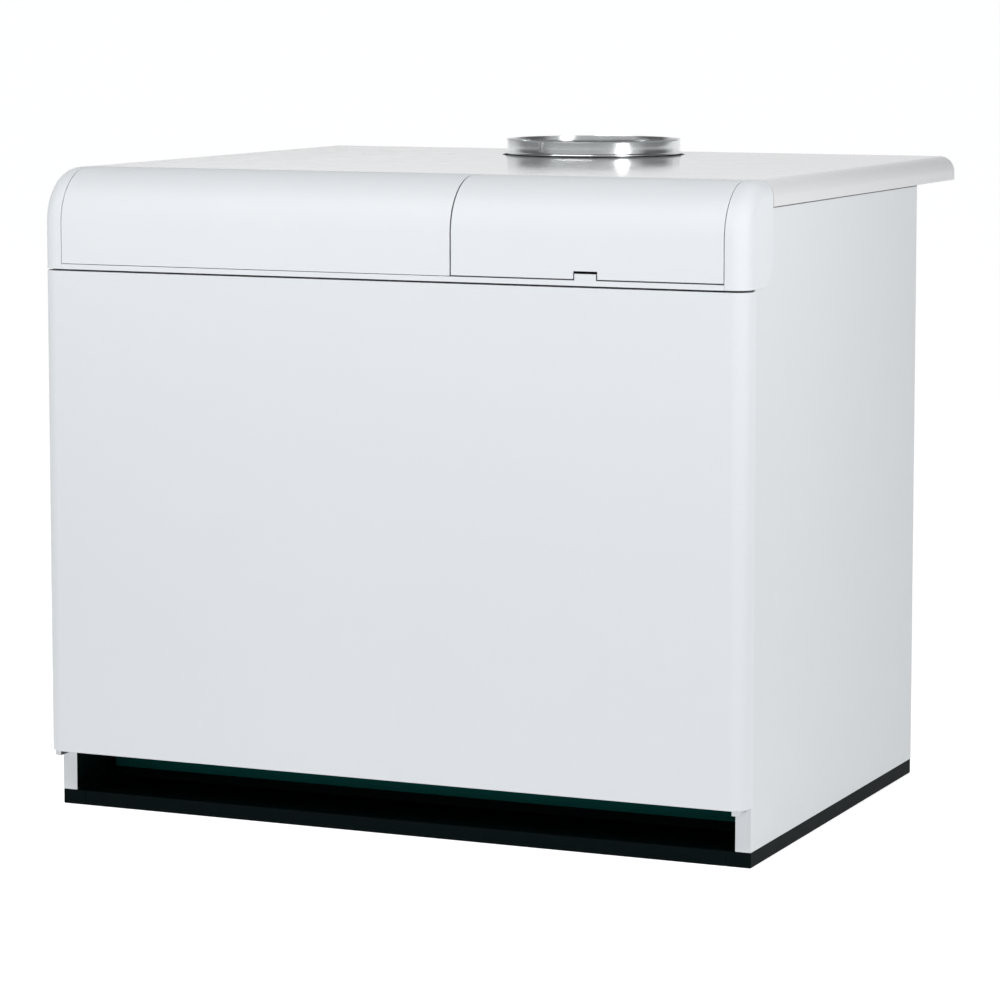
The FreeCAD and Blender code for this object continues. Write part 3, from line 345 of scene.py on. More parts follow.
def fired_ceramic():
    """White glaze with fine dark specks."""
    glaze = Finish("fired_ceramic")
    speckle = glaze.ramp(glaze.noise(900, 3), (0.28, (0.55, 0.50, 0.42)), (0.42, (0.80, 0.78, 0.72)))
    haze = glaze.noise(120, 3)
    return glaze.surface(speckle, haze * 0.1 + 0.16, glaze.bump(haze, 0.04 * MM, 0.4))


def clear_glass():
    """Window glass with a few faint smears."""
    glass = Finish("dial_window")
    smear = glass.noise(90, 4, 0.6)
    return glass.surface((0.97, 0.98, 0.98), smear * 0.05 + 0.015, transmission_weight=1.0, ior=1.45)


def lamp_lens(name, colour, deep):
    """A tinted lens with moulded facets inside."""
    lens = Finish(name)
    facets = lens.cells(700)
    tint = lens.mix(facets * 1.4, colour, deep)
    return lens.surface(tint, facets * 0.1 + 0.12, lens.bump(facets, 0.15 * MM, 0.4), coat_roughness=0.05)


WHITE = powder_coat("white_powder_coat", (0.585, 0.607, 0.628), (0.57, 0.592, 0.612))
# The side panels carry painted shade: a dark inside and a dark line under the top cover's edge.
SIDES = powder_coat("white_side_panels", (0.56, 0.582, 0.60), (0.547, 0.568, 0.586), marks=side_marks)
COVER = powder_coat("white_top_cover", (0.545, 0.555, 0.565), (0.53, 0.54, 0.55), 0.08, 0.40)
MOULDING = moulded("white_painted_moulding", (0.59, 0.614, 0.634), (0.578, 0.60, 0.62), 0.58, 600, 0.06)
PLINTH = powder_coat("dark_plinth_paint", (0.0003, 0.0026, 0.003), (0.0006, 0.0036, 0.004), 0.6, 0.04)
# The base pan is a dark painted plate made near black, which is painted shade for the recess under the
# burners.
PAN = powder_coat("dark_pan_paint", (0.0005, 0.006, 0.0055), (0.001, 0.009, 0.008), 0.6, 0.04)
KICK = powder_coat("dark_green_kick_plate", (0.0015, 0.060, 0.053), (0.003, 0.085, 0.074), 0.6, 0.04)
ZINC = zinc_sheet()
FLUE = rolled_flue_steel()
IRON = sand_cast_iron()
PIPE = black_pipe()
BURNER = heat_stained_steel()
BRASS = machined("turned_brass", (0.46, 0.30, 0.10), (0.74, 0.54, 0.23), 0.30)
STEEL = machined("bright_turned_steel", (0.40, 0.41, 0.42), (0.60, 0.61, 0.62), 0.34)
FIBRE = mineral_fibre()
FOIL = foil_facing()
PANEL = moulded("grey_instrument_panel", (0.16, 0.17, 0.18), (0.18, 0.19, 0.20), 0.46)
KNOB = moulded("black_knob_plastic", (0.018, 0.018, 0.020), (0.026, 0.026, 0.028), 0.34)
SWITCH = moulded("black_rocker_plastic", (0.014, 0.014, 0.016), (0.022, 0.022, 0.024), 0.24)
MARKING = moulded("white_panel_ink", (0.72, 0.73, 0.74), (0.66, 0.67, 0.68), 0.55)
DARK_INK = moulded("black_dial_ink", (0.015, 0.015, 0.016), (0.03, 0.03, 0.032), 0.6)
DIAL = moulded("printed_dial_card", (0.78, 0.78, 0.75), (0.72, 0.72, 0.68), 0.6, 700, 0.03)
NEEDLE = moulded("red_needle_paint", (0.50, 0.03, 0.02), (0.40, 0.02, 0.015), 0.38)
RED_LENS = lamp_lens("red_lamp_lens", (0.55, 0.02, 0.015), (0.20, 0.004, 0.004))
AMBER = lamp_lens("amber_button_plastic", (0.62, 0.24, 0.02), (0.40, 0.12, 0.01))
RUBBER = moulded("black_gland_rubber", (0.02, 0.02, 0.021), (0.032, 0.032, 0.033), 0.72, 500, 0.12)
GLAND = moulded("grey_gland_plastic", (0.10, 0.10, 0.11), (0.13, 0.13, 0.14), 0.5)
ALLOY = die_cast("blasted_valve_casting", (0.36, 0.37, 0.38), (0.52, 0.53, 0.54))
COIL = moulded("black_coil_resin", (0.016, 0.017, 0.020), (0.028, 0.029, 0.032), 0.42)
CERAMIC = fired_ceramic()
GLASS = clear_glass()


# ---------------------------------------------------------------- making shapes

def piece(name, shape, finishes, node, edge=0.0, steps=2, sharp=35):
    """Makes an object of a bmesh and rounds its edges. It rides with a CAD node."""
    mesh = bpy.data.meshes.new(name)
    bmesh.ops.recalc_face_normals(shape, faces=shape.faces)
    shape.to_mesh(mesh)
    shape.free()
    item = bpy.data.objects.new(name, mesh)
    bpy.context.scene.collection.objects.link(item)
    for finish in finishes if isinstance(finishes, list) else [finishes]:
        mesh.materials.append(finish)
    mesh.polygons.foreach_set("use_smooth", [True] * len(mesh.polygons))
    mesh.set_sharp_from_angle(angle=radians(sharp))
    if edge:
        bevel = item.modifiers.new("rounded_edges", "BEVEL")
        bevel.width = edge
        bevel.segments = steps
        bevel.limit_method = "ANGLE"
        bevel.angle_limit = radians(28)
        bevel.harden_normals = True
    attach(item, frame["nodes"][node]["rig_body"])
    return item


def stand_in(name, shape, finishes, node, edge=0.0, steps=2, sharp=35):
    """A piece that is shown in the CAD node's place."""
    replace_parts(piece(name, shape, finishes, node, edge, steps, sharp), node)


def softened(node, finish, edge, steps=2):
    """A copy of a CAD node with its faces cleaned and its sharp edges rounded, shown in its place."""
    shape = bmesh.new()
    shape.from_mesh(frame["nodes"][node].data)
    bmesh.ops.remove_doubles(shape, verts=shape.verts, dist=0.005 * MM)
    bmesh.ops.dissolve_limit(shape, angle_limit=radians(0.4), verts=shape.verts, edges=shape.edges)
    for face in shape.faces:
        face.material_index = 0
    stand_in(node + "_made", shape, finish, node, edge, steps)


def spots(first, last, count):
    """Evenly spaced values from first to last."""
    return [first + (last - first) * step / (count - 1) for step in range(count)]


def box(shape, first, second):
    """Adds a closed box between two opposite corners."""
    xs, ys, zs = (sorted(pair) for pair in zip(first, second))
    corners = [shape.verts.new((x, y, z)) for z in zs for y in ys for x in xs]
    for side in ((0, 1, 3, 2), (4, 6, 7, 5), (0, 4, 5, 1), (2, 3, 7, 6), (0, 2, 6, 4), (1, 5, 7, 3)):
        shape.faces.new([corners[index] for index in side])


def turned(shape, centre, axis, profile, sides=32, form=None, material=0, loop=False):
    """Adds a turned shape. The profile is (radius, distance along the axis) from end to end.

    form(radius, angle, index) may change the radius round the axis, for flats, grips and recesses.
    """
    axis = Vector(axis).normalized()
    across = Vector(Z) if abs(axis.z) < 0.5 else Vector(X)
    side = axis.cross(across)
    rings = []
    for index, (radius, reach) in enumerate(profile):
        base = Vector(centre) + axis * reach
        if radius <= 0:
            rings.append([shape.verts.new(base)])
            continue
        ring = []
        for step in range(sides):
            angle = tau * step / sides
            wide = form(radius, angle, index) if form else radius
            ring.append(shape.verts.new(base + (across * cos(angle) + side * sin(angle)) * wide))
        rings.append(ring)
    pairs = list(zip(rings, rings[1:]))
    if loop:
        pairs.append((rings[-1], rings[0]))
    for first, second in pairs:
        for step in range(sides):
            after = (step + 1) % sides
            if len(first) == 1:
                corners = [first[0], second[step], second[after]]
            elif len(second) == 1:
                corners = [first[step], second[0], first[after]]
            else:
                corners = [first[step], second[step], second[after], first[after]]
            shape.faces.new(corners).material_index = material


def disc(shape, centre, axis, radius, height, sides):
    """Adds a plain round disc or rod."""
    turned(shape, centre, axis, [(0, 0), (radius, 0), (radius, height), (0, height)], sides)


def sized(radius, reach, *points):
    """Profile points that are given as shares of a radius and of a length."""
    return [(radius * across, reach * along) for across, along in points]


def mm(*points):
    """Profile points that are given in millimetres."""
    return sized(MM, MM, *points)


def flats(count):
    """A form for turned(): a regular nut or bar with that many flats."""
    def form(radius, angle, index):
        step = tau / count
        return radius * cos(step / 2) / cos((angle % step) - step / 2)
    return form


def flutes(count, depth):
    """A form for turned(): that many flutes round the axis, as deep as a share of the radius."""
    def form(radius, angle, index):
        return radius * (1 - depth * (0.5 + 0.5 * cos(angle * count)))
    return form


def only(form, *points):
    """Keeps a form for turned() to these points of the profile."""
    def kept(radius, angle, index):
        return form(radius, angle, index) if index in points else radius
    return kept


def thread(radius, depth, pitch, start, finish):
    """Profile points for a thread's ridges from start to finish."""
    points = []
    reach = start
    while reach + pitch <= finish:
        points += [(radius - depth, reach), (radius, reach + pitch * 0.4), (radius, reach + pitch * 0.55)]
        reach += pitch
    points.append((radius - depth, reach))
    return points


def screw_head(shape, centre, axis, radius, height, material=0):
    """A pan head with a cross recess."""
    def cross(wide, angle, index):
        return wide if abs(((angle + pi / 4) % (pi / 2)) - pi / 4) < pi / 10 else wide * 0.42

    profile = ((1, 0), (1, 0.35), (0.86, 0.75), (0.7, 0.94), (0.58, 1), (0.5, 0.45), (0, 0.3))
    turned(shape, centre, axis, sized(radius, height, *profile), 40, only(cross, 4, 5), material)


def around(centre, radius, angle):
    """A point on an upright circle that faces the front; 0 is up and angles run clockwise."""
    return Vector(centre) + Vector((sin(angle), 0, cos(angle))) * radius


def lettering(shape, text, size, centre, lift):
    """Adds flat figures that face the front, centred on a point."""
    curve = bpy.data.curves.new("figure", "FONT")
    curve.body = text
    curve.size = size
    curve.align_x = "CENTER"
    curve.align_y = "CENTER"
    curve.extrude = lift / 2
    curve.resolution_u = 3
    maker = bpy.data.objects.new("figure", curve)
    bpy.context.scene.collection.objects.link(maker)
    mesh = bpy.data.meshes.new_from_object(maker.evaluated_get(bpy.context.evaluated_depsgraph_get()))
    mesh.transform(Matrix.Translation(centre) @ Matrix.Rotation(pi / 2, 4, "X"))
    shape.from_mesh(mesh)
    bpy.data.objects.remove(maker)
    bpy.data.curves.remove(curve)
    bpy.data.meshes.remove(mesh)


def tick(shape, centre, inner, outer, angle, width, lift):
    """A raised mark on a scale that faces the front."""
    out = around((0, 0, 0), 1, angle)
    side = Vector((out.z, 0, -out.x)) * width / 2
    corners = []
    for y in (0, -lift):
        for reach, sign in ((inner, -1), (inner, 1), (outer, 1), (outer, -1)):
            corners.append(shape.verts.new(Vector(centre) + out * reach + side * sign + Vector((0, y, 0))))
    for face in ((0, 1, 2, 3), (7, 6, 5, 4), (0, 4, 5, 1), (1, 5, 6, 2), (2, 6, 7, 3), (3, 7, 4, 0)):
        shape.faces.new([corners[index] for index in face])


# ---------------------------------------------------------------- CAD nodes with rounded edges

def softened_nodes():
    """The CAD nodes that only need their edges rounded. The edge's radius is in millimetres."""
    for finish, edge, nodes in (
        (SIDES, 0.6, ("side_panel_left", "side_panel_right")),
        (COVER, 0.6, ("top_cover",)),
        (WHITE, 0.7, ("front_door",)),
        (WHITE, 0.5, ("rear_panel_lower", "rear_panel_left", "rear_panel_right")),
        (PLINTH, 1.2, ("base_side_rails", "base_cross_rails")),
        # The support rails get the plinth's black paint, which here is also painted shade: it darkens the
        # strip under the kick plate.
        (PLINTH, 0.6, ("support_rails",)),
        (PAN, 0.4, ("base_pan",)),
        (KICK, 0.4, ("kick_plate",)),
        (PANEL, 0.7, ("control_housing",)),
        (ZINC, 0.6, ("front_cross_rail", "smoke_box", "draught_hood", "burner_front_plate")),
        (ZINC, 0.8, ("door_support_lugs",)),
        (ZINC, 1.0, ("smoke_box_cover",)),
        (ZINC, 1.5, ("control_box",)),
        (STEEL, 0.3, ("flap_hinge_pins",)),
        (STEEL, 0.8, ("nipples", "sight_hole_cover")),
        (STEEL, 1.0, ("drain_cock_lever",)),
        (IRON, 2.0, ("section_left", "section_right", "middle_sections")),
        (PIPE, 0.4, ("gas_supply_pipe",)),
        (PIPE, 0.8, ("gas_manifold",)),
    ):
        for node in nodes:
            softened(node, finish, edge * MM)
    for node in ("fascia_cheek_left", "fascia_cheek_right", "fascia_panel", "fascia_lip", "control_flap"):
        softened(node, MOULDING, 0.9 * MM, steps=3)
    softened("power_switch", SWITCH, 1.3 * MM, steps=4)


# ---------------------------------------------------------------- casing

def rear_screws():
    """Cross-recessed screws with washers, where the rear panels meet the side flanges."""
    low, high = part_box("casing_screws")
    panel_low, panel_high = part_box("rear_panel_lower")
    face = panel_high.y
    radius = 4.5 * MM
    washer = 0.5 * MM
    shape = bmesh.new()
    for side in (low.x + radius, high.x - radius):
        for level in screw_levels(low.z + radius, high.z - radius, panel_low.z, panel_high.z):
            disc(shape, (side, face, level), Y, radius, washer, 40)
            screw_head(shape, (side, face + washer, level), Y, radius * 0.82, high.y - face - washer)
    stand_in("rear_casing_screws", shape, STEEL, "casing_screws")


def screw_levels(first, last, foot, split):
    """The six levels of screws: the ends and middle of the lower and of the upper panels."""
    inset = first - foot
    return [first, (foot + split) / 2, split - inset, split + inset, (split + last + inset) / 2, last]


def glands():
    """Two cable glands: a hexagon on the panel, a ribbed dome nut and a rubber sleeve with nothing in it."""
    low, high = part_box("cable_glands")
    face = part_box("rear_panel_left")[1].y
    radius = (high.x - low.x) / 2
    reach = high.y - face
    nut = sized(radius, reach, (0, 0), (1, 0), (1, 0.22), (0.9, 0.27), (0, 0.27))
    dome = sized(
        radius, reach, (0, 0.2), (0.8, 0.25), (0.84, 0.3), (0.84, 0.7), (0.8, 0.78), (0.68, 0.93),
        (0.55, 0.97), (0.55, 0.8), (0, 0.8),
    )
    sleeve = sized(radius, reach, (0.54, 0.8), (0.52, 0.99), (0.38, 1), (0.36, 0.8))
    tail = sized(radius, MM, (0, -10), (0.62, -10), (0.66, -8), (0.66, 0), (0, 0))
    shape = bmesh.new()
    for level in (low.z + radius, high.z - radius):
        centre = ((low.x + high.x) / 2, face, level)
        turned(shape, centre, Y, nut, 48, flats(6))
        turned(shape, centre, Y, dome, 72, only(flutes(18, 0.05), 2, 3, 4))
        turned(shape, centre, Y, sleeve, 40, material=1, loop=True)
        turned(shape, centre, Y, tail, 40)
    stand_in("cable_gland_pair", shape, [GLAND, RUBBER], "cable_glands")


def door_fixings():
    """The door's press studs and the spring clips that hold them."""
    low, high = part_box("door_studs")
    clip_low, clip_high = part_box("stud_clips")
    foot = 6 * MM
    shank = 3.5 * MM
    reach = high.y - low.y
    stud = [
        (0, 2.4 * MM), (foot * 0.33, 2.9 * MM), (foot * 0.75, 4.8 * MM), (foot * 0.75, 7 * MM),
        (shank, 8 * MM), (shank, reach - 9 * MM),
        (shank * 0.72, reach - 8 * MM), (shank * 0.72, reach - 6 * MM), (shank, reach - 4 * MM),
        (shank * 0.55, reach - 0.8 * MM), (0, reach),
    ]
    wide = (clip_high.z - clip_low.z - (high.z - low.z - foot * 2)) / 2
    depth = clip_high.y - clip_low.y
    bore = shank * 1.08
    clip = [(bore, 0), (wide, 0), (wide, 1 * MM), (wide * 0.72, 1.6 * MM), (wide * 0.6, depth), (bore, depth)]
    studs = bmesh.new()
    clips = bmesh.new()
    for x in (low.x + foot, high.x - foot):
        for z in (low.z + foot, high.z - foot):
            turned(studs, (x, low.y, z), Y, stud, 32)
            turned(clips, (x, clip_low.y, z), Y, clip, 40, loop=True)
    stand_in("door_press_studs", studs, STEEL, "door_studs")
    stand_in("press_stud_clips", clips, ZINC, "stud_clips")


# ---------------------------------------------------------------- boards of mineral fibre

def fine_box(low, high, longest):
    """A box whose edges over a given length are cut into short ones, across its faces as well."""
    shape = bmesh.new()
    box(shape, low, high)
    edges = [edge for edge in shape.edges if edge.calc_length() > longest]
    bmesh.ops.subdivide_edges(shape, edges=edges, cuts=22, use_grid_fill=True)
    return shape


def door_board():
    """A pressed board with crowned fibrous faces, ragged corners, and foil on the side away from the door."""
    low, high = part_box("door_insulation")
    middle = (low + high) / 2
    half = (high - low) / 2
    shape = fine_box(low, high, max(high - low) / 13)
    for vert in shape.verts:
        share = [abs(vert.co[i] - middle[i]) / half[i] for i in range(3)]
        crown = max(0.0, max(share[0], share[2]) - 0.9) * 10
        vert.co.y -= (vert.co.y - middle.y) * (0.16 * crown ** 2 + 0.03 * chance.random())
        for i in (0, 2):
            if share[i] > 0.999:
                vert.co[i] -= (vert.co[i] - middle[i]) / half[i] * chance.random() * 1.5 * MM
    for face in shape.faces:
        if face.calc_center_median().y > middle.y + half.y * 0.5:
            face.material_index = 1
    stand_in("door_fibre_board", shape, [FIBRE, FOIL], "door_insulation", 1.5 * MM, 2, 50)


def door_washers():
    """Spring washers on pins, which hold the board to the door."""
    low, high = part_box("door_insulation")
    inset = (high - low) * 0.08
    dish = mm((0, 0), (15, 0), (15, 0.5), (11, 0.9), (4, 0.6), (1.6, 0.8), (1.6, 1.15), (0, 1.2))
    shape = bmesh.new()
    for x in spots(low.x + inset.x, high.x - inset.x, 5):
        for z in spots(low.z + inset.z, high.z - inset.z, 4):
            turned(shape, (x, high.y - 1.2 * MM, z), Y, dish, 36)
    piece("door_board_washers", shape, ZINC, "door_insulation")


def end_boards():
    """The two boards on the ends of the cast block, each held by three steel bands."""
    low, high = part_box("insulation_slabs")
    centre = (low + high) / 2
    half = (high - low) / 2
    thick = 38 * MM
    for name, side, outer, make in (("left", -1, low.x, stand_in), ("right", 1, high.x, piece)):
        inner = outer - side * thick
        middle = (inner + outer) / 2
        shape = fine_box((inner, low.y, low.z), (outer, high.y, high.z), thick * 2)
        for vert in shape.verts:
            share = max(abs(vert.co.y - centre.y) / half.y, abs(vert.co.z - centre.z) / half.z)
            pull = 0.18 * (max(0.0, share - 0.88) * 8) ** 2 + 0.03 * chance.random()
            vert.co.x -= (vert.co.x - middle) * min(pull, 0.2)
        for face in shape.faces:
            if (face.calc_center_median().x - middle) * side > thick * 0.3:
                face.material_index = 1
        make(f"end_fibre_board_{name}", shape, [FIBRE, FOIL], "insulation_slabs", 2 * MM, 2, 50)
        bands = bmesh.new()
        under = outer - side * 0.6 * MM
        for level in spots(low.z + 80 * MM, high.z - 80 * MM, 3):
            box(bands, (under, low.y + 1 * MM, level - 8 * MM), (outer, high.y - 1 * MM, level + 8 * MM))
        piece(f"end_board_bands_{name}", bands, ZINC, "insulation_slabs", 0.15 * MM, 1)


# ---------------------------------------------------------------- flue and cast block

def flue_collar():
    """A rolled tube with a half-round bead and a rolled rim."""
    low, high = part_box("flue_collar")
    mount = mounts["flue_socket"]
    inner = mount["dims"]["r_mm"] * MM
    centre = Vector((mount["pos_m"][0], mount["pos_m"][1], 0))
    outer = inner + 1.2 * MM
    proud = (high.x - low.x) / 2 - outer
    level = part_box("top_cover")[1].z + 3.2 * MM
    bead = [(outer + proud * sin(pi * t), level - 3 * MM * cos(pi * t)) for t in spots(0.02, 0.98, 9)]
    rim = 1.1 * MM
    curl = [(outer + rim * (1 - cos(pi * t)) * 0.3, high.z - rim * 2 * (1 - t)) for t in spots(0, 1, 5)]
    profile = [(outer, low.z), *bead, (outer, level + 4 * MM), *curl, (inner + 0.3 * MM, high.z)]
    profile += [(inner, high.z - rim), (inner, level + 3 * MM), (inner + 1 * MM, level), (inner, low.z)]
    shape = bmesh.new()
    turned(shape, centre, Z, profile, 160, loop=True)
    stand_in("flue_collar_tube", shape, FLUE, "flue_collar", sharp=40)
    lap_seam(centre, outer, level + 4.5 * MM, high.z - 1.5 * MM)


def lap_seam(centre, radius, low, high):
    """The lap: a second thickness that ends in a straight edge, with spot welds down its middle."""
    shape = bmesh.new()
    seam = radians(-104)
    width = radians(5.2)
    thick = 0.7 * MM
    columns = spots(seam - width / 2, seam + width / 2, 7)
    grid = []
    for level in (low, high):
        for lift in (0.05 * MM, thick):
            wall = [centre + Vector((cos(a), sin(a), 0)) * (radius + lift) + Z * level for a in columns]
            grid.append([shape.verts.new(place) for place in wall])
    low_in, low_out, high_in, high_out = grid
    for step in range(len(columns) - 1):
        for first, second in ((low_out, high_out), (low_in, low_out), (high_in, high_out), (low_in, high_in)):
            shape.faces.new([first[step], first[step + 1], second[step + 1], second[step]])
    for end in (0, -1):
        shape.faces.new([low_in[end], low_out[end], high_out[end], high_in[end]])
    out = Vector((cos(seam), sin(seam), 0))
    weld = mm((0, -0.2), (2.6, -0.2), (2.6, 0.25), (1.9, 0.4), (0, 0.1))
    for level in spots(low + 4 * MM, high - 4 * MM, 3):
        turned(shape, centre + out * (radius + thick) + Z * level, out, weld, 24)
    piece("flue_collar_lap_seam", shape, FLUE, "flue_collar")


def hood_seams():
    """Standing folds at the hood's rear corners, with their pop rivets."""
    low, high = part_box("draught_hood")
    shape = bmesh.new()
    fold = 9 * MM
    rivet = mm((0, 0), (2.6, 0), (2.2, 0.7), (1.0, 1.0), (0, 0.8))
    for x, inward in ((low.x, 1), (high.x, -1)):
        box(
            shape, (x, high.y - 0.1 * MM, low.z + 4 * MM),
            (x + inward * fold, high.y + 0.6 * MM, high.z - 4 * MM),
        )
    for x in (low.x + fold * 0.5, high.x - fold * 0.5):
        for level in spots(low.z + 30 * MM, high.z - 30 * MM, 8):
            turned(shape, (x, high.y + 0.5 * MM, level), Y, rivet, 20)
    piece("hood_folds_and_rivets", shape, ZINC, "draught_hood", 0.2 * MM, 1)


def casting_ribs():
    """An upright rib with four cross ribs on the front of every section."""
    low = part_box("section_left")[0]
    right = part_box("section_right")[1].x
    count = 10
    pitch = (right - low.x) / count
    face = low.y + 26 * MM
    root = face + 2 * MM
    foot = 340 * MM
    head = 760 * MM
    shape = bmesh.new()
    for x in spots(low.x + pitch / 2, right - pitch / 2, count):
        box(shape, (x - 5 * MM, face - 4 * MM, foot), (x + 5 * MM, root, head))
        for level in spots(foot + 60 * MM, head - 60 * MM, 4):
            box(shape, (x - 30 * MM, face - 3 * MM, level - 4 * MM), (x + 30 * MM, root, level + 4 * MM))
    piece("casting_ribs", shape, IRON, "middle_sections", 1.2 * MM, 2)


def tie_rods():
    """Threaded tie rods with chamfered nuts at both ends."""
    low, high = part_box("tie_rods")
    nut_low, nut_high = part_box("tie_rod_nuts")
    radius = 6 * MM
    nut_radius = 11 * MM
    nut_height = 9 * MM
    chamfer = 1.2 * MM
    length = high.x - low.x
    rod = [(0, 0), (radius - 1 * MM, 0)]
    rod += thread(radius, 0.7 * MM, 1.75 * MM, 0.5 * MM, 46 * MM)
    rod += [(radius, 47 * MM), (radius, length - 47 * MM)]
    rod += thread(radius, 0.7 * MM, 1.75 * MM, length - 46 * MM, length - 0.5 * MM)
    rod += [(radius - 1 * MM, length), (0, length)]
    bore = radius + 0.05 * MM
    nut = [
        (bore, 0), (nut_radius * 0.84, 0), (nut_radius, chamfer), (nut_radius, nut_height - chamfer),
        (nut_radius * 0.84, nut_height), (bore, nut_height),
    ]
    rods = bmesh.new()
    nuts = bmesh.new()
    for y in (low.y + radius, high.y - radius):
        for z in (low.z + radius, high.z - radius):
            turned(rods, (low.x, y, z), X, rod, 24)
            for start in (nut_low.x, nut_high.x - nut_height):
                turned(nuts, (start, y, z), X, nut, 48, only(flats(6), 2, 3), loop=True)
    stand_in("threaded_tie_rods", rods, STEEL, "tie_rods")
    stand_in("tie_rod_hexagon_nuts", nuts, STEEL, "tie_rod_nuts")


# ---------------------------------------------------------------- water and gas pipes

PIPE_PITCH = 2.309 * MM


def water_pipe(name):
    """A straight pipe with a thread of full length on its outer end."""
    low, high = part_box(name + "_pipe")
    facts = mounts[name + "_connection"]
    radius = facts["dims"]["r_mm"] * MM
    length = facts["dims"]["length_mm"] * MM
    x, _, z = facts["pos_m"]
    wall = 3.8 * MM
    plain = 30.15 * MM
    bore = plain - wall
    reach = high.y - low.y
    profile = [(bore, 0), (plain, 0), (plain, reach - length)]
    profile += thread(radius, 1.3 * MM, PIPE_PITCH, reach - length + 1 * MM, reach - 1 * MM)
    profile += [(radius - 1.6 * MM, reach), (bore + 0.6 * MM, reach), (bore, reach - 1 * MM)]
    shape = bmesh.new()
    turned(shape, (x, low.y, z), Y, profile, 64, loop=True)
    stand_in(name + "_pipe_threaded", shape, PIPE, name + "_pipe")


def gas_thread():
    """The ridges of the gas pipe's thread, over its plain end."""
    facts = mounts["gas_connection"]
    radius = facts["dims"]["r_mm"] * MM
    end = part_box("gas_supply_pipe")[1].y
    x, _, z = facts["pos_m"]
    root = radius - 0.2 * MM
    crest = radius + 0.22 * MM
    ring = [(root, 0), (crest, PIPE_PITCH * 0.35), (crest, PIPE_PITCH * 0.5), (root, PIPE_PITCH * 0.85)]
    shape = bmesh.new()
    start = end - facts["dims"]["length_mm"] * MM + PIPE_PITCH
    while start + PIPE_PITCH < end - 1 * MM:
        turned(shape, (x, start, z), Y, ring, 48, loop=True)
        start += PIPE_PITCH
    piece("gas_pipe_thread", shape, PIPE, "gas_supply_pipe")


def drain_cock():
    """A brass drain cock: hexagon body, hose tail with barbs, spindle, and a red grip on its flat lever."""
    low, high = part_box("drain_cock_body")
    lever_low, lever_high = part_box("drain_cock_lever")
    pipe_low, pipe_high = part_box("return_pipe")
    x, y, _ = joints["drain_lever_turn"]["pos_m"]
    z = (pipe_low.z + pipe_high.z) / 2
    size = high.x - low.x
    wide = size * 0.5
    waist = size * 0.42
    stem = 10 * MM
    block = y - size / 2
    tail = block + size
    profile = [
        (0, low.y), (stem, low.y), (stem, block - 4 * MM), (wide, block - 3 * MM), (wide, block + 6 * MM),
        (waist, block + 8 * MM), (waist, block + 22 * MM), (wide, block + 24 * MM), (wide, tail),
        (stem * 0.8, tail + 1 * MM),
    ]
    barb = tail + 3 * MM
    while barb + 6 * MM < high.y:
        profile += [(stem * 0.82, barb), (stem, barb + 1 * MM), (stem * 0.82, barb + 5 * MM)]
        barb += 6 * MM
    bore = stem * 0.62
    profile += [(stem * 0.8, high.y), (bore, high.y), (bore, high.y - 20 * MM), (0, high.y - 20 * MM)]
    shape = bmesh.new()
    turned(shape, (x, 0, z), Y, profile, 48, only(flats(6), 3, 4, 7, 8))
    neck = z + size / 2
    top = lever_high.z
    spindle = [
        (0, z), (8 * MM, z), (8 * MM, neck), (3 * MM, neck), (3 * MM, top + 0.8 * MM), (0, top + 1 * MM),
    ]
    turned(shape, (x, y, 0), Z, spindle, 40)
    stand_in("drain_cock_brass_body", shape, BRASS, "drain_cock_body")
    grip = bmesh.new()
    box(
        grip, (lever_low.x + 0.2 * MM, y - 6.8 * MM, lever_low.z - 0.6 * MM),
        (lever_low.x + 36 * MM, y + 6.8 * MM, top + 0.6 * MM),
    )
    piece("drain_lever_grip", grip, NEEDLE, "drain_cock_lever", 2.2 * MM, 4)


# ---------------------------------------------------------------- burner assembly

BURNERS = 9
BURNER_MOUTH = 27 * MM


def burner_places():
    """Where the burner tubes stand across the boiler, and their level."""
    low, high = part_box("burner_tubes")
    return spots(low.x + BURNER_MOUTH, high.x - BURNER_MOUTH, BURNERS), (low.z + high.z) / 2


def burner_bar():
    """Stainless tubes with rows of flame slots and flared mouths."""
    low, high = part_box("burner_tubes")
    places, z = burner_places()
    radius = 22 * MM
    wall = 1.5 * MM
    flare = 15 * MM
    slot_pitch = 11 * MM
    depth = 1.1 * MM
    end = high.y - low.y
    mouth = BURNER_MOUTH
    lip = (mouth - wall, 0.4 * MM)
    profile = [lip, (mouth, 0), (mouth, 1.2 * MM), (mouth - 2 * MM, 5 * MM), (radius, flare)]
    grooves = set()
    reach = flare + 45 * MM
    while reach + slot_pitch < end - 12 * MM:
        for step, groove in ((0, False), (0.6 * MM, True), (3.0 * MM, True), (3.6 * MM, False)):
            if groove:
                grooves.add(len(profile))
            profile.append((radius, reach + step))
        reach += slot_pitch
    profile += [(radius, end - 2 * MM), (radius - 2 * MM, end), (0, end)]
    throat = [lip, (radius - wall, flare), (radius - wall, flare + 60 * MM), (0, flare + 60 * MM)]

    def slotted(wide, angle, index):
        turn = min(angle, tau - angle)
        return wide - depth if radians(4) < turn < radians(52) else wide

    shape = bmesh.new()
    for x in places:
        turned(shape, (x, low.y, z), Y, profile, 40, only(slotted, *grooves))
        turned(shape, (x, low.y, z), Y, throat, 40)
    stand_in("slotted_burner_tubes", shape, BURNER, "burner_tubes", sharp=30)


def injectors():
    """Brass injectors with a hexagon and a drilled nose, one in front of each tube."""
    low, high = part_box("injectors")
    places, z = burner_places()
    bore = 1 * MM
    radius = 6 * MM
    reach = high.y - low.y
    nose = sized(
        radius, reach, (0.72, 0), (0.72, 0.3), (0.74, 0.3), (1, 0.32), (1, 0.6), (0.74, 0.62), (0.7, 0.66),
        (0.42, 0.97), (0.3, 1),
    )
    profile = [(bore, 0), *nose, (bore, reach)]
    shape = bmesh.new()
    for x in places:
        turned(shape, (x, low.y, z), Y, profile, 36, only(flats(6), 4, 5), loop=True)
    stand_in("brass_injectors", shape, BRASS, "injectors")


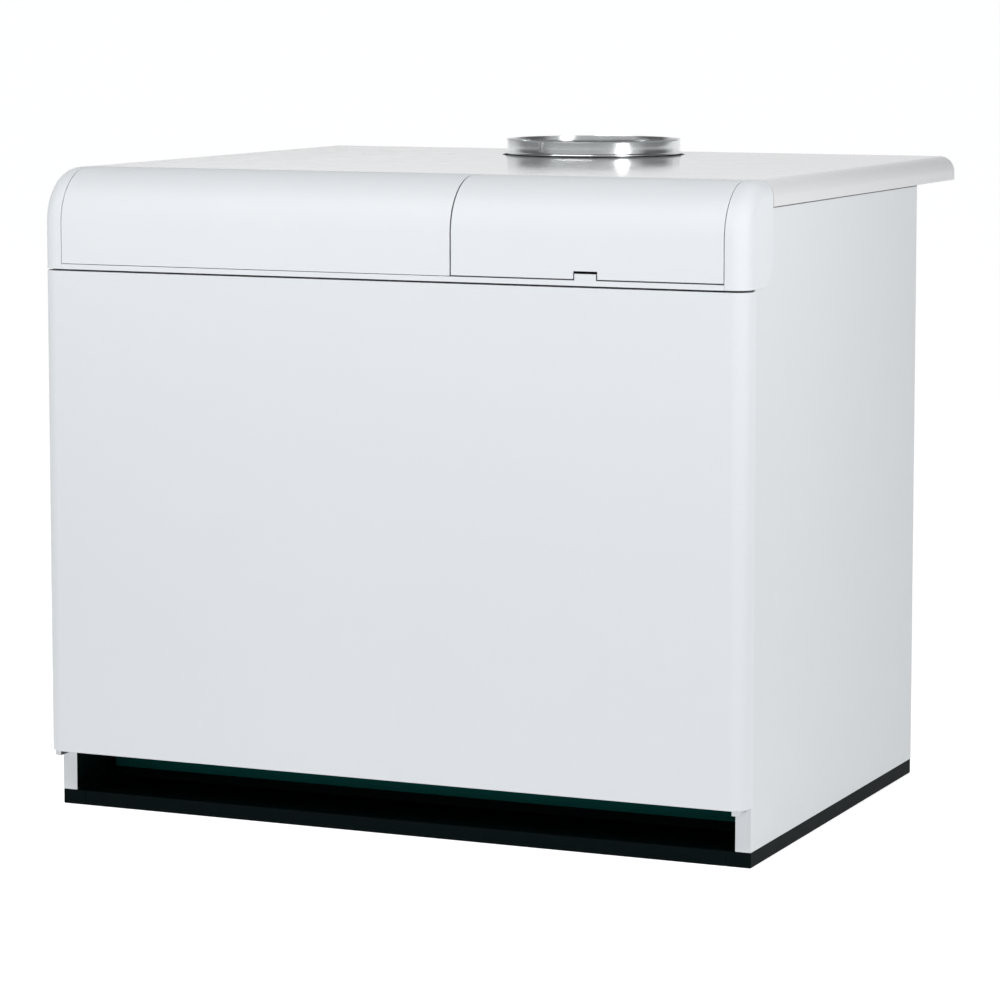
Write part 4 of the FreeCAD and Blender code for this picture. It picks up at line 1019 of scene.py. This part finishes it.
def igniter():
    """The pilot burner and its two glazed electrodes with their bare tips."""
    low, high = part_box("pilot_burner")
    centre = (low + high) / 2
    radius = (high.x - low.x) / 2
    reach = high.y - low.y
    profile = sized(
        radius, reach, (0, 0), (0.6, 0), (0.6, 0.12), (1, 0.14), (1, 0.3), (0.72, 0.33), (0.72, 0.8),
        (1, 0.83), (1, 0.97), (0.6, 1), (0.5, 0.9), (0, 0.9),
    )
    shape = bmesh.new()
    turned(shape, (centre.x, low.y, centre.z), Y, profile, 36, only(flats(6), 3, 4))
    stand_in("pilot_burner_body", shape, BRASS, "pilot_burner")
    low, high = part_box("electrodes")
    radius = (high.z - low.z) / 2
    glazed = sized(
        radius, reach, (0, 0.1), (0.8, 0.1), (1, 0.14), (1, 0.48), (0.86, 0.5), (0.86, 0.8), (0.5, 0.84),
        (0, 0.84),
    )
    tip = sized(radius, reach, (0, 0), (0.34, 0), (0.34, 0.97), (0, 1))
    shape = bmesh.new()
    for x in (low.x + radius, high.x - radius):
        turned(shape, (x, low.y, centre.z), Y, glazed, 28)
        turned(shape, (x, low.y, centre.z), Y, tip, 16, material=1)
    stand_in("glazed_electrodes", shape, [CERAMIC, STEEL], "electrodes")


def front_plate_screws():
    """Screws with washers along the upper and lower edge of the burner's front plate."""
    low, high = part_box("burner_front_plate")
    sheet = 3 * MM
    face = high.y - sheet
    washer = 0.6 * MM
    shape = bmesh.new()
    for x in spots(low.x + 14 * MM, high.x - 14 * MM, 11):
        for z in (low.z + 12 * MM, high.z - 12 * MM):
            disc(shape, (x, face, z), -Y, 6 * MM, washer, 32)
            screw_head(shape, (x, face - washer, z), -Y, 4.4 * MM, 2.6 * MM)
    piece("front_plate_screws", shape, STEEL, "burner_front_plate")


def gas_valve():
    """A die-cast valve: body with pads and flanges, two resin coils with caps, brass pressure taps."""
    low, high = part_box("gas_valve")
    coil_mm = 34
    top = high.z - coil_mm * MM
    body = bmesh.new()
    for left, front, foot, right, rear, head in (
        (low.x + 6 * MM, low.y + 3 * MM, low.z + 4 * MM, high.x - 6 * MM, high.y - 3 * MM, top - 3 * MM),
        (low.x, low.y + 10 * MM, low.z + 12 * MM, low.x + 9 * MM, high.y - 10 * MM, top - 12 * MM),
        (high.x - 9 * MM, low.y + 10 * MM, low.z + 12 * MM, high.x, high.y - 10 * MM, top - 12 * MM),
        (low.x + 22 * MM, low.y, low.z + 16 * MM, high.x - 22 * MM, low.y + 5 * MM, top - 20 * MM),
        (low.x + 30 * MM, low.y + 12 * MM, low.z, high.x - 30 * MM, high.y - 12 * MM, low.z + 6 * MM),
    ):
        box(body, (left, front, foot), (right, rear, head))
    stand_in("valve_casting", body, ALLOY, "gas_valve", 2.4 * MM, 3)
    middle = (low + high) / 2
    apart = (high.x - low.x) / 4
    wound = mm(
        (0, 0), (22, 0), (22, 3), (20.5, 4.5), (20.5, coil_mm - 5), (22, coil_mm - 4), (22, coil_mm),
        (19, coil_mm + 2), (0, coil_mm + 2),
    )
    cap = mm((0, coil_mm + 1), (7, coil_mm + 1), (7, coil_mm + 3.2), (5, coil_mm + 4), (0, coil_mm + 4))
    tap = mm((0, -2), (4.6, -2), (4.6, 0), (2.6, 0.6), (0, 0.6))
    coils = bmesh.new()
    fittings = bmesh.new()
    for x in (middle.x - apart, middle.x + apart):
        turned(coils, (x, middle.y, top - 4 * MM), Z, wound, 56)
        box(coils, (x - 9 * MM, low.y + 4 * MM, top + 6 * MM), (x + 9 * MM, middle.y, top + 22 * MM))
        turned(fittings, (x, middle.y, top - 4 * MM), Z, cap, 42, flats(6))
    face = low.y + 0.6 * MM
    for x in (low.x + 34 * MM, high.x - 34 * MM):
        turned(fittings, (x, face, low.z + 28 * MM), -Y, tap, 30)
    for x in (low.x + 27 * MM, high.x - 27 * MM):
        for z in (low.z + 21 * MM, top - 25 * MM):
            screw_head(fittings, (x, face, z), -Y, 3.4 * MM, 0.6 * MM, 1)
    piece("valve_coils", coils, COIL, "gas_valve", 0.8 * MM, 2)
    piece("valve_fittings", fittings, [BRASS, STEEL], "gas_valve")


# ---------------------------------------------------------------- controls

def knob(node, joint):
    """A fluted knob with a skirt, a domed cap and an inlaid white pointer."""
    low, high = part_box(node)
    x, panel, z = joints[joint]["pos_m"]
    radius = (high.x - low.x) / 2
    front = low.y
    back = panel - 2 * MM
    reach = back - front - 1 * MM
    half = 0.8 * MM
    skirt = back - 2.7 * MM
    profile = [
        (0, 0), (radius, 0), (radius, 2.2 * MM), (radius * 0.84, 3.2 * MM), (radius * 0.82, reach * 0.55),
        (radius * 0.80, reach - 2 * MM), (radius * 0.74, reach - 0.5 * MM), (radius * 0.60, reach),
        (radius * 0.56, reach - 0.8 * MM), (0, reach - 0.8 * MM),
    ]
    shape = bmesh.new()
    turned(shape, (x, back, z), -Y, profile, 120, only(flutes(20, 0.045), 3, 4, 5))
    disc(shape, (x, high.y, z), -Y, 3 * MM, high.y - back + 1 * MM, 24)
    stand_in(node + "_fluted", shape, KNOB, node, sharp=32)
    pointer = bmesh.new()
    for face, thick, inner, outer in ((front, 1.6 * MM, 0.2, 0.72), (skirt, 1.1 * MM, 0.86, 0.99)):
        box(pointer, (x - half, face, z + radius * inner), (x + half, face + thick, z + radius * outer))
    piece(node + "_fluted_pointer", pointer, MARKING, node, 0.3 * MM, 2)


def knob_scale(shape, joint, radius, panel, figures):
    """Ticks and figures on the panel, round a knob that turns through its joint's range."""
    x, _, z = joints[joint]["pos_m"]
    lowest, highest = (radians(angle) for angle in joints[joint]["range_deg"])
    lift = 0.15 * MM
    for step, angle in enumerate(spots(lowest, highest, (len(figures) - 1) * 5 + 1)):
        outer = radius + (3.0 if step % 5 else 4.2) * MM
        tick(shape, (x, panel, z), radius + 1.5 * MM, outer, angle, 0.5 * MM, lift)
    for figure, angle in zip(figures, spots(lowest, highest, len(figures))):
        place = around((x, panel - 0.08 * MM, z), radius + 7.6 * MM, angle)
        lettering(shape, figure, 4.2 * MM, place, lift)


def dial_card(name, joint, figures, ticks):
    """An instrument's printed card, with figures over its needle's range and ticks from one to the next."""
    x, _, z = joints[joint]["pos_m"]
    low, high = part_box("dial_bodies")
    inner = (high.z - low.z) / 2 - 2 * MM
    face = low.y + (high.y - low.y) * 0.62
    card = bmesh.new()
    disc(card, (x, face, z), Y, inner - 0.1 * MM, 0.4 * MM, 96)
    piece(name + "_card", card, DIAL, "dial_bodies")
    marks = bmesh.new()
    lowest, highest = (radians(angle) for angle in joints[joint]["range_deg"])
    lift = 0.12 * MM
    for step, angle in enumerate(spots(lowest, highest, (len(figures) - 1) * ticks + 1)):
        start, width = (0.85, 0.28) if step % ticks else (0.78, 0.45)
        tick(marks, (x, face, z), inner * start, inner * 0.95, angle, width * MM, lift)
    for figure, angle in zip(figures, spots(lowest, highest, len(figures))):
        lettering(marks, figure, 3.8 * MM, around((x, face - lift / 2, z), inner * 0.62, angle), lift)
    piece(name + "_marks", marks, DARK_INK, "dial_bodies")


def needle(node, joint):
    """A pointed red hand on a black hub."""
    low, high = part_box(node)
    x, _, z = joints[joint]["pos_m"]
    length = high.z - z
    thick = high.y - low.y
    hub = z - low.z
    outline = ((-0.85, 0.0), (-0.16, 0.97), (0.0, 1.0), (0.16, 0.97), (0.85, 0.0))
    hand = bmesh.new()
    front = [hand.verts.new((x + across * MM, low.y, z + along * length)) for across, along in outline]
    rear = [hand.verts.new(vert.co + Y * thick * 0.8) for vert in front]
    hand.faces.new(front)
    hand.faces.new(reversed(rear))
    for step in range(len(outline)):
        after = (step + 1) % len(outline)
        hand.faces.new([front[step], rear[step], rear[after], front[after]])
    bore = 0.85 * MM
    ring = [(bore, 0), (hub * 0.8, 0), (hub, thick * 0.3), (hub, thick), (bore, thick)]
    turned(hand, (x, low.y, z), Y, ring, 40, material=1, loop=True)
    stand_in(node + "_made", hand, [NEEDLE, KNOB], node, sharp=30)


def dial_cases():
    """The two black dial cases with rounded bezels and their windows."""
    low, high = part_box("dial_bodies")
    glass_low, glass_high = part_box("dial_glasses")
    radius = (high.z - low.z) / 2
    z = (low.z + high.z) / 2
    depth = high.y - low.y
    inner = radius - 2 * MM
    case = [
        (0, depth), (radius * 0.96, depth), (radius * 0.96, 3.5 * MM), (radius, 3 * MM), (radius, 1 * MM),
        (radius - 0.4 * MM, 0.3 * MM), (radius - 1 * MM, 0), (inner + 0.4 * MM, 0.2 * MM), (inner, 0.8 * MM),
        (inner, depth * 0.66), (0.8 * MM, depth * 0.66), (0.8 * MM, depth * 0.36), (0, depth * 0.36),
    ]
    thick = glass_high.y - glass_low.y
    wide = inner - 0.06 * MM
    lens = [(0, 0.25 * MM), (wide * 0.7, 0.32 * MM), (wide, 0.6 * MM), (wide, thick), (0, thick)]
    cases = bmesh.new()
    windows = bmesh.new()
    for x in (low.x + radius, high.x - radius):
        turned(cases, (x, low.y, z), Y, case, 96)
        turned(windows, (x, glass_low.y, z), Y, lens, 72)
    stand_in("dial_cases", cases, KNOB, "dial_bodies", sharp=40)
    stand_in("dial_windows", windows, GLASS, "dial_glasses")


def rocker_frame(panel):
    """The frame round the power switch's rocker."""
    x, _, z = joints["power_switch_rock"]["pos_m"]
    wide, tall = 7.6 * MM, 13.2 * MM
    rim = 2 * MM
    face = panel - 1.2 * MM
    shape = bmesh.new()
    for left, right, foot, head in (
        (-wide - rim, -wide, -tall - rim, tall + rim),
        (wide, wide + rim, -tall - rim, tall + rim),
        (-wide, wide, tall, tall + rim),
        (-wide, wide, -tall - rim, -tall),
    ):
        box(shape, (x + left, face, z + foot), (x + right, panel, z + head))
    piece("rocker_frame", shape, SWITCH, "control_housing", 0.3 * MM, 2)


def button_and_lamp(panel):
    """The dished reset button and the domed lamp, each in a bright collar."""
    collars = bmesh.new()
    low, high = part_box("reset_button")
    at = (low + high) / 2
    radius = (high.x - low.x) / 2
    reach = high.y - low.y
    profile = [
        (0, 0), (radius, 0), (radius, reach - 1.2 * MM), (radius - 0.5 * MM, reach - 0.4 * MM),
        (radius - 1.4 * MM, reach), (radius * 0.5, reach - 0.5 * MM), (0, reach - 0.8 * MM),
    ]
    button = bmesh.new()
    turned(button, (at.x, high.y, at.z), -Y, profile, 56)
    stand_in("reset_button_dished", button, AMBER, "reset_button")
    bore = radius + 0.4 * MM
    ring = [
        (bore, 0), (radius + 2.6 * MM, 0), (radius + 2.4 * MM, 1.4 * MM), (radius + 1.4 * MM, 2.2 * MM),
        (bore, 2.0 * MM),
    ]
    turned(collars, (at.x, panel, at.z), -Y, ring, 56, loop=True)
    low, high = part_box("indicator_lamp")
    at = (low + high) / 2
    radius = (high.x - low.x) / 2
    stem = high.y - low.y - radius
    profile = [(0, 0), (radius, 0), (radius, stem)]
    profile += [(radius * cos(a), stem + radius * sin(a)) for a in spots(0.15, pi / 2 - 0.15, 6)]
    profile.append((0, stem + radius))
    lens = bmesh.new()
    turned(lens, (at.x, high.y, at.z), -Y, profile, 48)
    stand_in("indicator_lamp_lens", lens, RED_LENS, "indicator_lamp")
    bore = radius + 0.1 * MM
    ring = [
        (bore, 0), (radius + 2 * MM, 0), (radius + 1.8 * MM, 1.2 * MM), (radius + 0.8 * MM, 1.9 * MM),
        (bore, 1.6 * MM),
    ]
    turned(collars, (at.x, panel, at.z), -Y, ring, 48, loop=True)
    piece("button_and_lamp_collars", collars, STEEL, "control_housing")


def controls():
    """The knobs with their scales, the instruments, the switch, the button and the lamp."""
    panel = joints["thermostat_turn"]["pos_m"][1]
    low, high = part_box("thermostat_knob")
    radius = (high.x - low.x) / 2
    knob("thermostat_knob", "thermostat_turn")
    knob("stage_knob", "stage_turn")
    scales = bmesh.new()
    knob_scale(scales, "thermostat_turn", radius, panel, [str(figure) for figure in range(30, 91, 10)])
    knob_scale(scales, "stage_turn", radius, panel, [str(figure) for figure in range(6)])
    piece("knob_scales", scales, MARKING, "control_housing")
    dial_cases()
    dial_card("thermometer", "thermometer_sweep", [str(figure) for figure in range(0, 121, 20)], 4)
    dial_card("pressure", "pressure_sweep", [str(figure) for figure in range(7)], 5)
    needle("thermometer_needle", "thermometer_sweep")
    needle("pressure_needle", "pressure_sweep")
    rocker_frame(panel)
    button_and_lamp(panel)


# ---------------------------------------------------------------- studio

# The sky's colour by height, from the horizon up, and its strength from in front of the object, round by
# its left and right, to SKY_BEHIND.
SKY_STOPS = ((0.05, (0.86, 0.865, 0.87)), (0.70, (0.80, 0.81, 0.82)), (1.0, (0.62, 0.63, 0.64)))
SKY_BEHIND = Vector((-0.40, 0.92, 0.0))
SKY_ROUND = ((0.25, 0.60), (0.34, 0.14), (0.66, 0.14), (0.84, 1.0))

FLOOR_SIZE = 2000
FLOOR_GLOW = 0.69

# Name, place, width and height in metres, and power in watts.
SOFTBOXES = (
    ("front_softbox", (-0.35, -1.95, 2.6), 2.4, 0.6, 46),
    ("side_softbox", (1.9, -0.75, 1.5), 0.5, 1.0, 14),
)

CAMERA_PLACE = (2.549, -5.873, 1.318)
CAMERA_DIP = 6.04
CAMERA_TURN = 23.67
CAMERA_LENS = 139.2
CAMERA_SENSOR = 36
CAMERA_SHIFT = -0.10
CAMERA_REACH = 4000


def studio_air():
    """Bright behind the object, dimmer overhead and in front, and darkest on its left and right."""
    world = bpy.data.worlds.new("studio_air")
    world.use_nodes = True
    tree = world.node_tree
    place = tree.nodes.new("ShaderNodeTexCoord").outputs["Generated"]
    split = tree.nodes.new("ShaderNodeSeparateXYZ")
    facing = tree.nodes.new("ShaderNodeVectorMath")
    facing.operation = "DOT_PRODUCT"
    facing.inputs[1].default_value = SKY_BEHIND
    share = tree.nodes.new("ShaderNodeMapRange")
    share.inputs["From Min"].default_value = -1.0
    colour = sky_ramp(tree, SKY_STOPS)
    strength = sky_ramp(tree, [(position, (level, level, level)) for position, level in SKY_ROUND])
    for start, end in (
        (place, split.inputs["Vector"]),
        (place, facing.inputs[0]),
        (facing.outputs["Value"], share.inputs["Value"]),
        (share.outputs["Result"], strength.inputs["Fac"]),
        (split.outputs["Z"], colour.inputs["Fac"]),
        (colour.outputs["Color"], tree.nodes["Background"].inputs["Color"]),
        (strength.outputs["Color"], tree.nodes["Background"].inputs["Strength"]),
    ):
        tree.links.new(start, end)
    bpy.context.scene.world = world


def sky_ramp(tree, stops):
    """A colour ramp with these stops."""
    ramp = tree.nodes.new("ShaderNodeValToRGB")
    elements = ramp.color_ramp.elements
    while len(elements) < len(stops):
        elements.new(0.5)
    for stop, (position, shade) in zip(elements, stops):
        stop.position = position
        stop.color = (*shade, 1)
    return ramp


def studio_paper():
    """White paper that glows a little."""
    paper = Finish("studio_paper")
    fibre = paper.noise(90, 3)
    haze = paper.noise(0.6, 2)
    tint = paper.mix(haze, (0.90, 0.90, 0.90), (0.93, 0.93, 0.93))
    return paper.surface(
        tint, fibre * 0.1 + 0.85, specular_ior_level=0.0, emission_color=(1, 1, 1, 1),
        emission_strength=FLOOR_GLOW,
    )


def studio_floor():
    """A wide floor just under the object."""
    shape = bmesh.new()
    bmesh.ops.create_grid(shape, x_segments=1, y_segments=1, size=FLOOR_SIZE)
    mesh = bpy.data.meshes.new("studio_floor")
    shape.to_mesh(mesh)
    shape.free()
    mesh.materials.append(studio_paper())
    floor = bpy.data.objects.new("studio_floor", mesh)
    floor.location.z = cad_box[0].z - 0.5 * MM
    bpy.context.scene.collection.objects.link(floor)


def softboxes():
    """Soft panels of light that face the middle of the object."""
    centre = (cad_box[0] + cad_box[1]) / 2
    for name, place, width, height, power in SOFTBOXES:
        lamp = bpy.data.lights.new(name, "AREA")
        lamp.shape = "RECTANGLE"
        lamp.size = width
        lamp.size_y = height
        lamp.energy = power
        holder = bpy.data.objects.new(name, lamp)
        holder.location = place
        holder.rotation_euler = (centre - Vector(place)).to_track_quat("-Z", "Y").to_euler()
        bpy.context.scene.collection.objects.link(holder)


def studio_camera():
    """The camera, which looks a little down on the object from its front right."""
    camera = bpy.data.cameras.new("studio_camera")
    camera.lens = CAMERA_LENS
    camera.shift_y = CAMERA_SHIFT
    camera.sensor_width = CAMERA_SENSOR
    camera.clip_end = CAMERA_REACH
    holder = bpy.data.objects.new("studio_camera", camera)
    holder.location = CAMERA_PLACE
    holder.rotation_euler = Euler((radians(90 - CAMERA_DIP), 0, radians(CAMERA_TURN)))
    bpy.context.scene.collection.objects.link(holder)
    bpy.context.scene.camera = holder
    bpy.context.scene.view_settings.view_transform = "Standard"


softened_nodes()
rear_screws()
glands()
door_fixings()
door_board()
door_washers()
end_boards()
flue_collar()
hood_seams()
casting_ribs()
tie_rods()
water_pipe("flow")
water_pipe("return")
gas_thread()
drain_cock()
burner_bar()
injectors()
igniter()
front_plate_screws()
gas_valve()
controls()
studio_floor()
studio_air()
softboxes()
studio_camera()
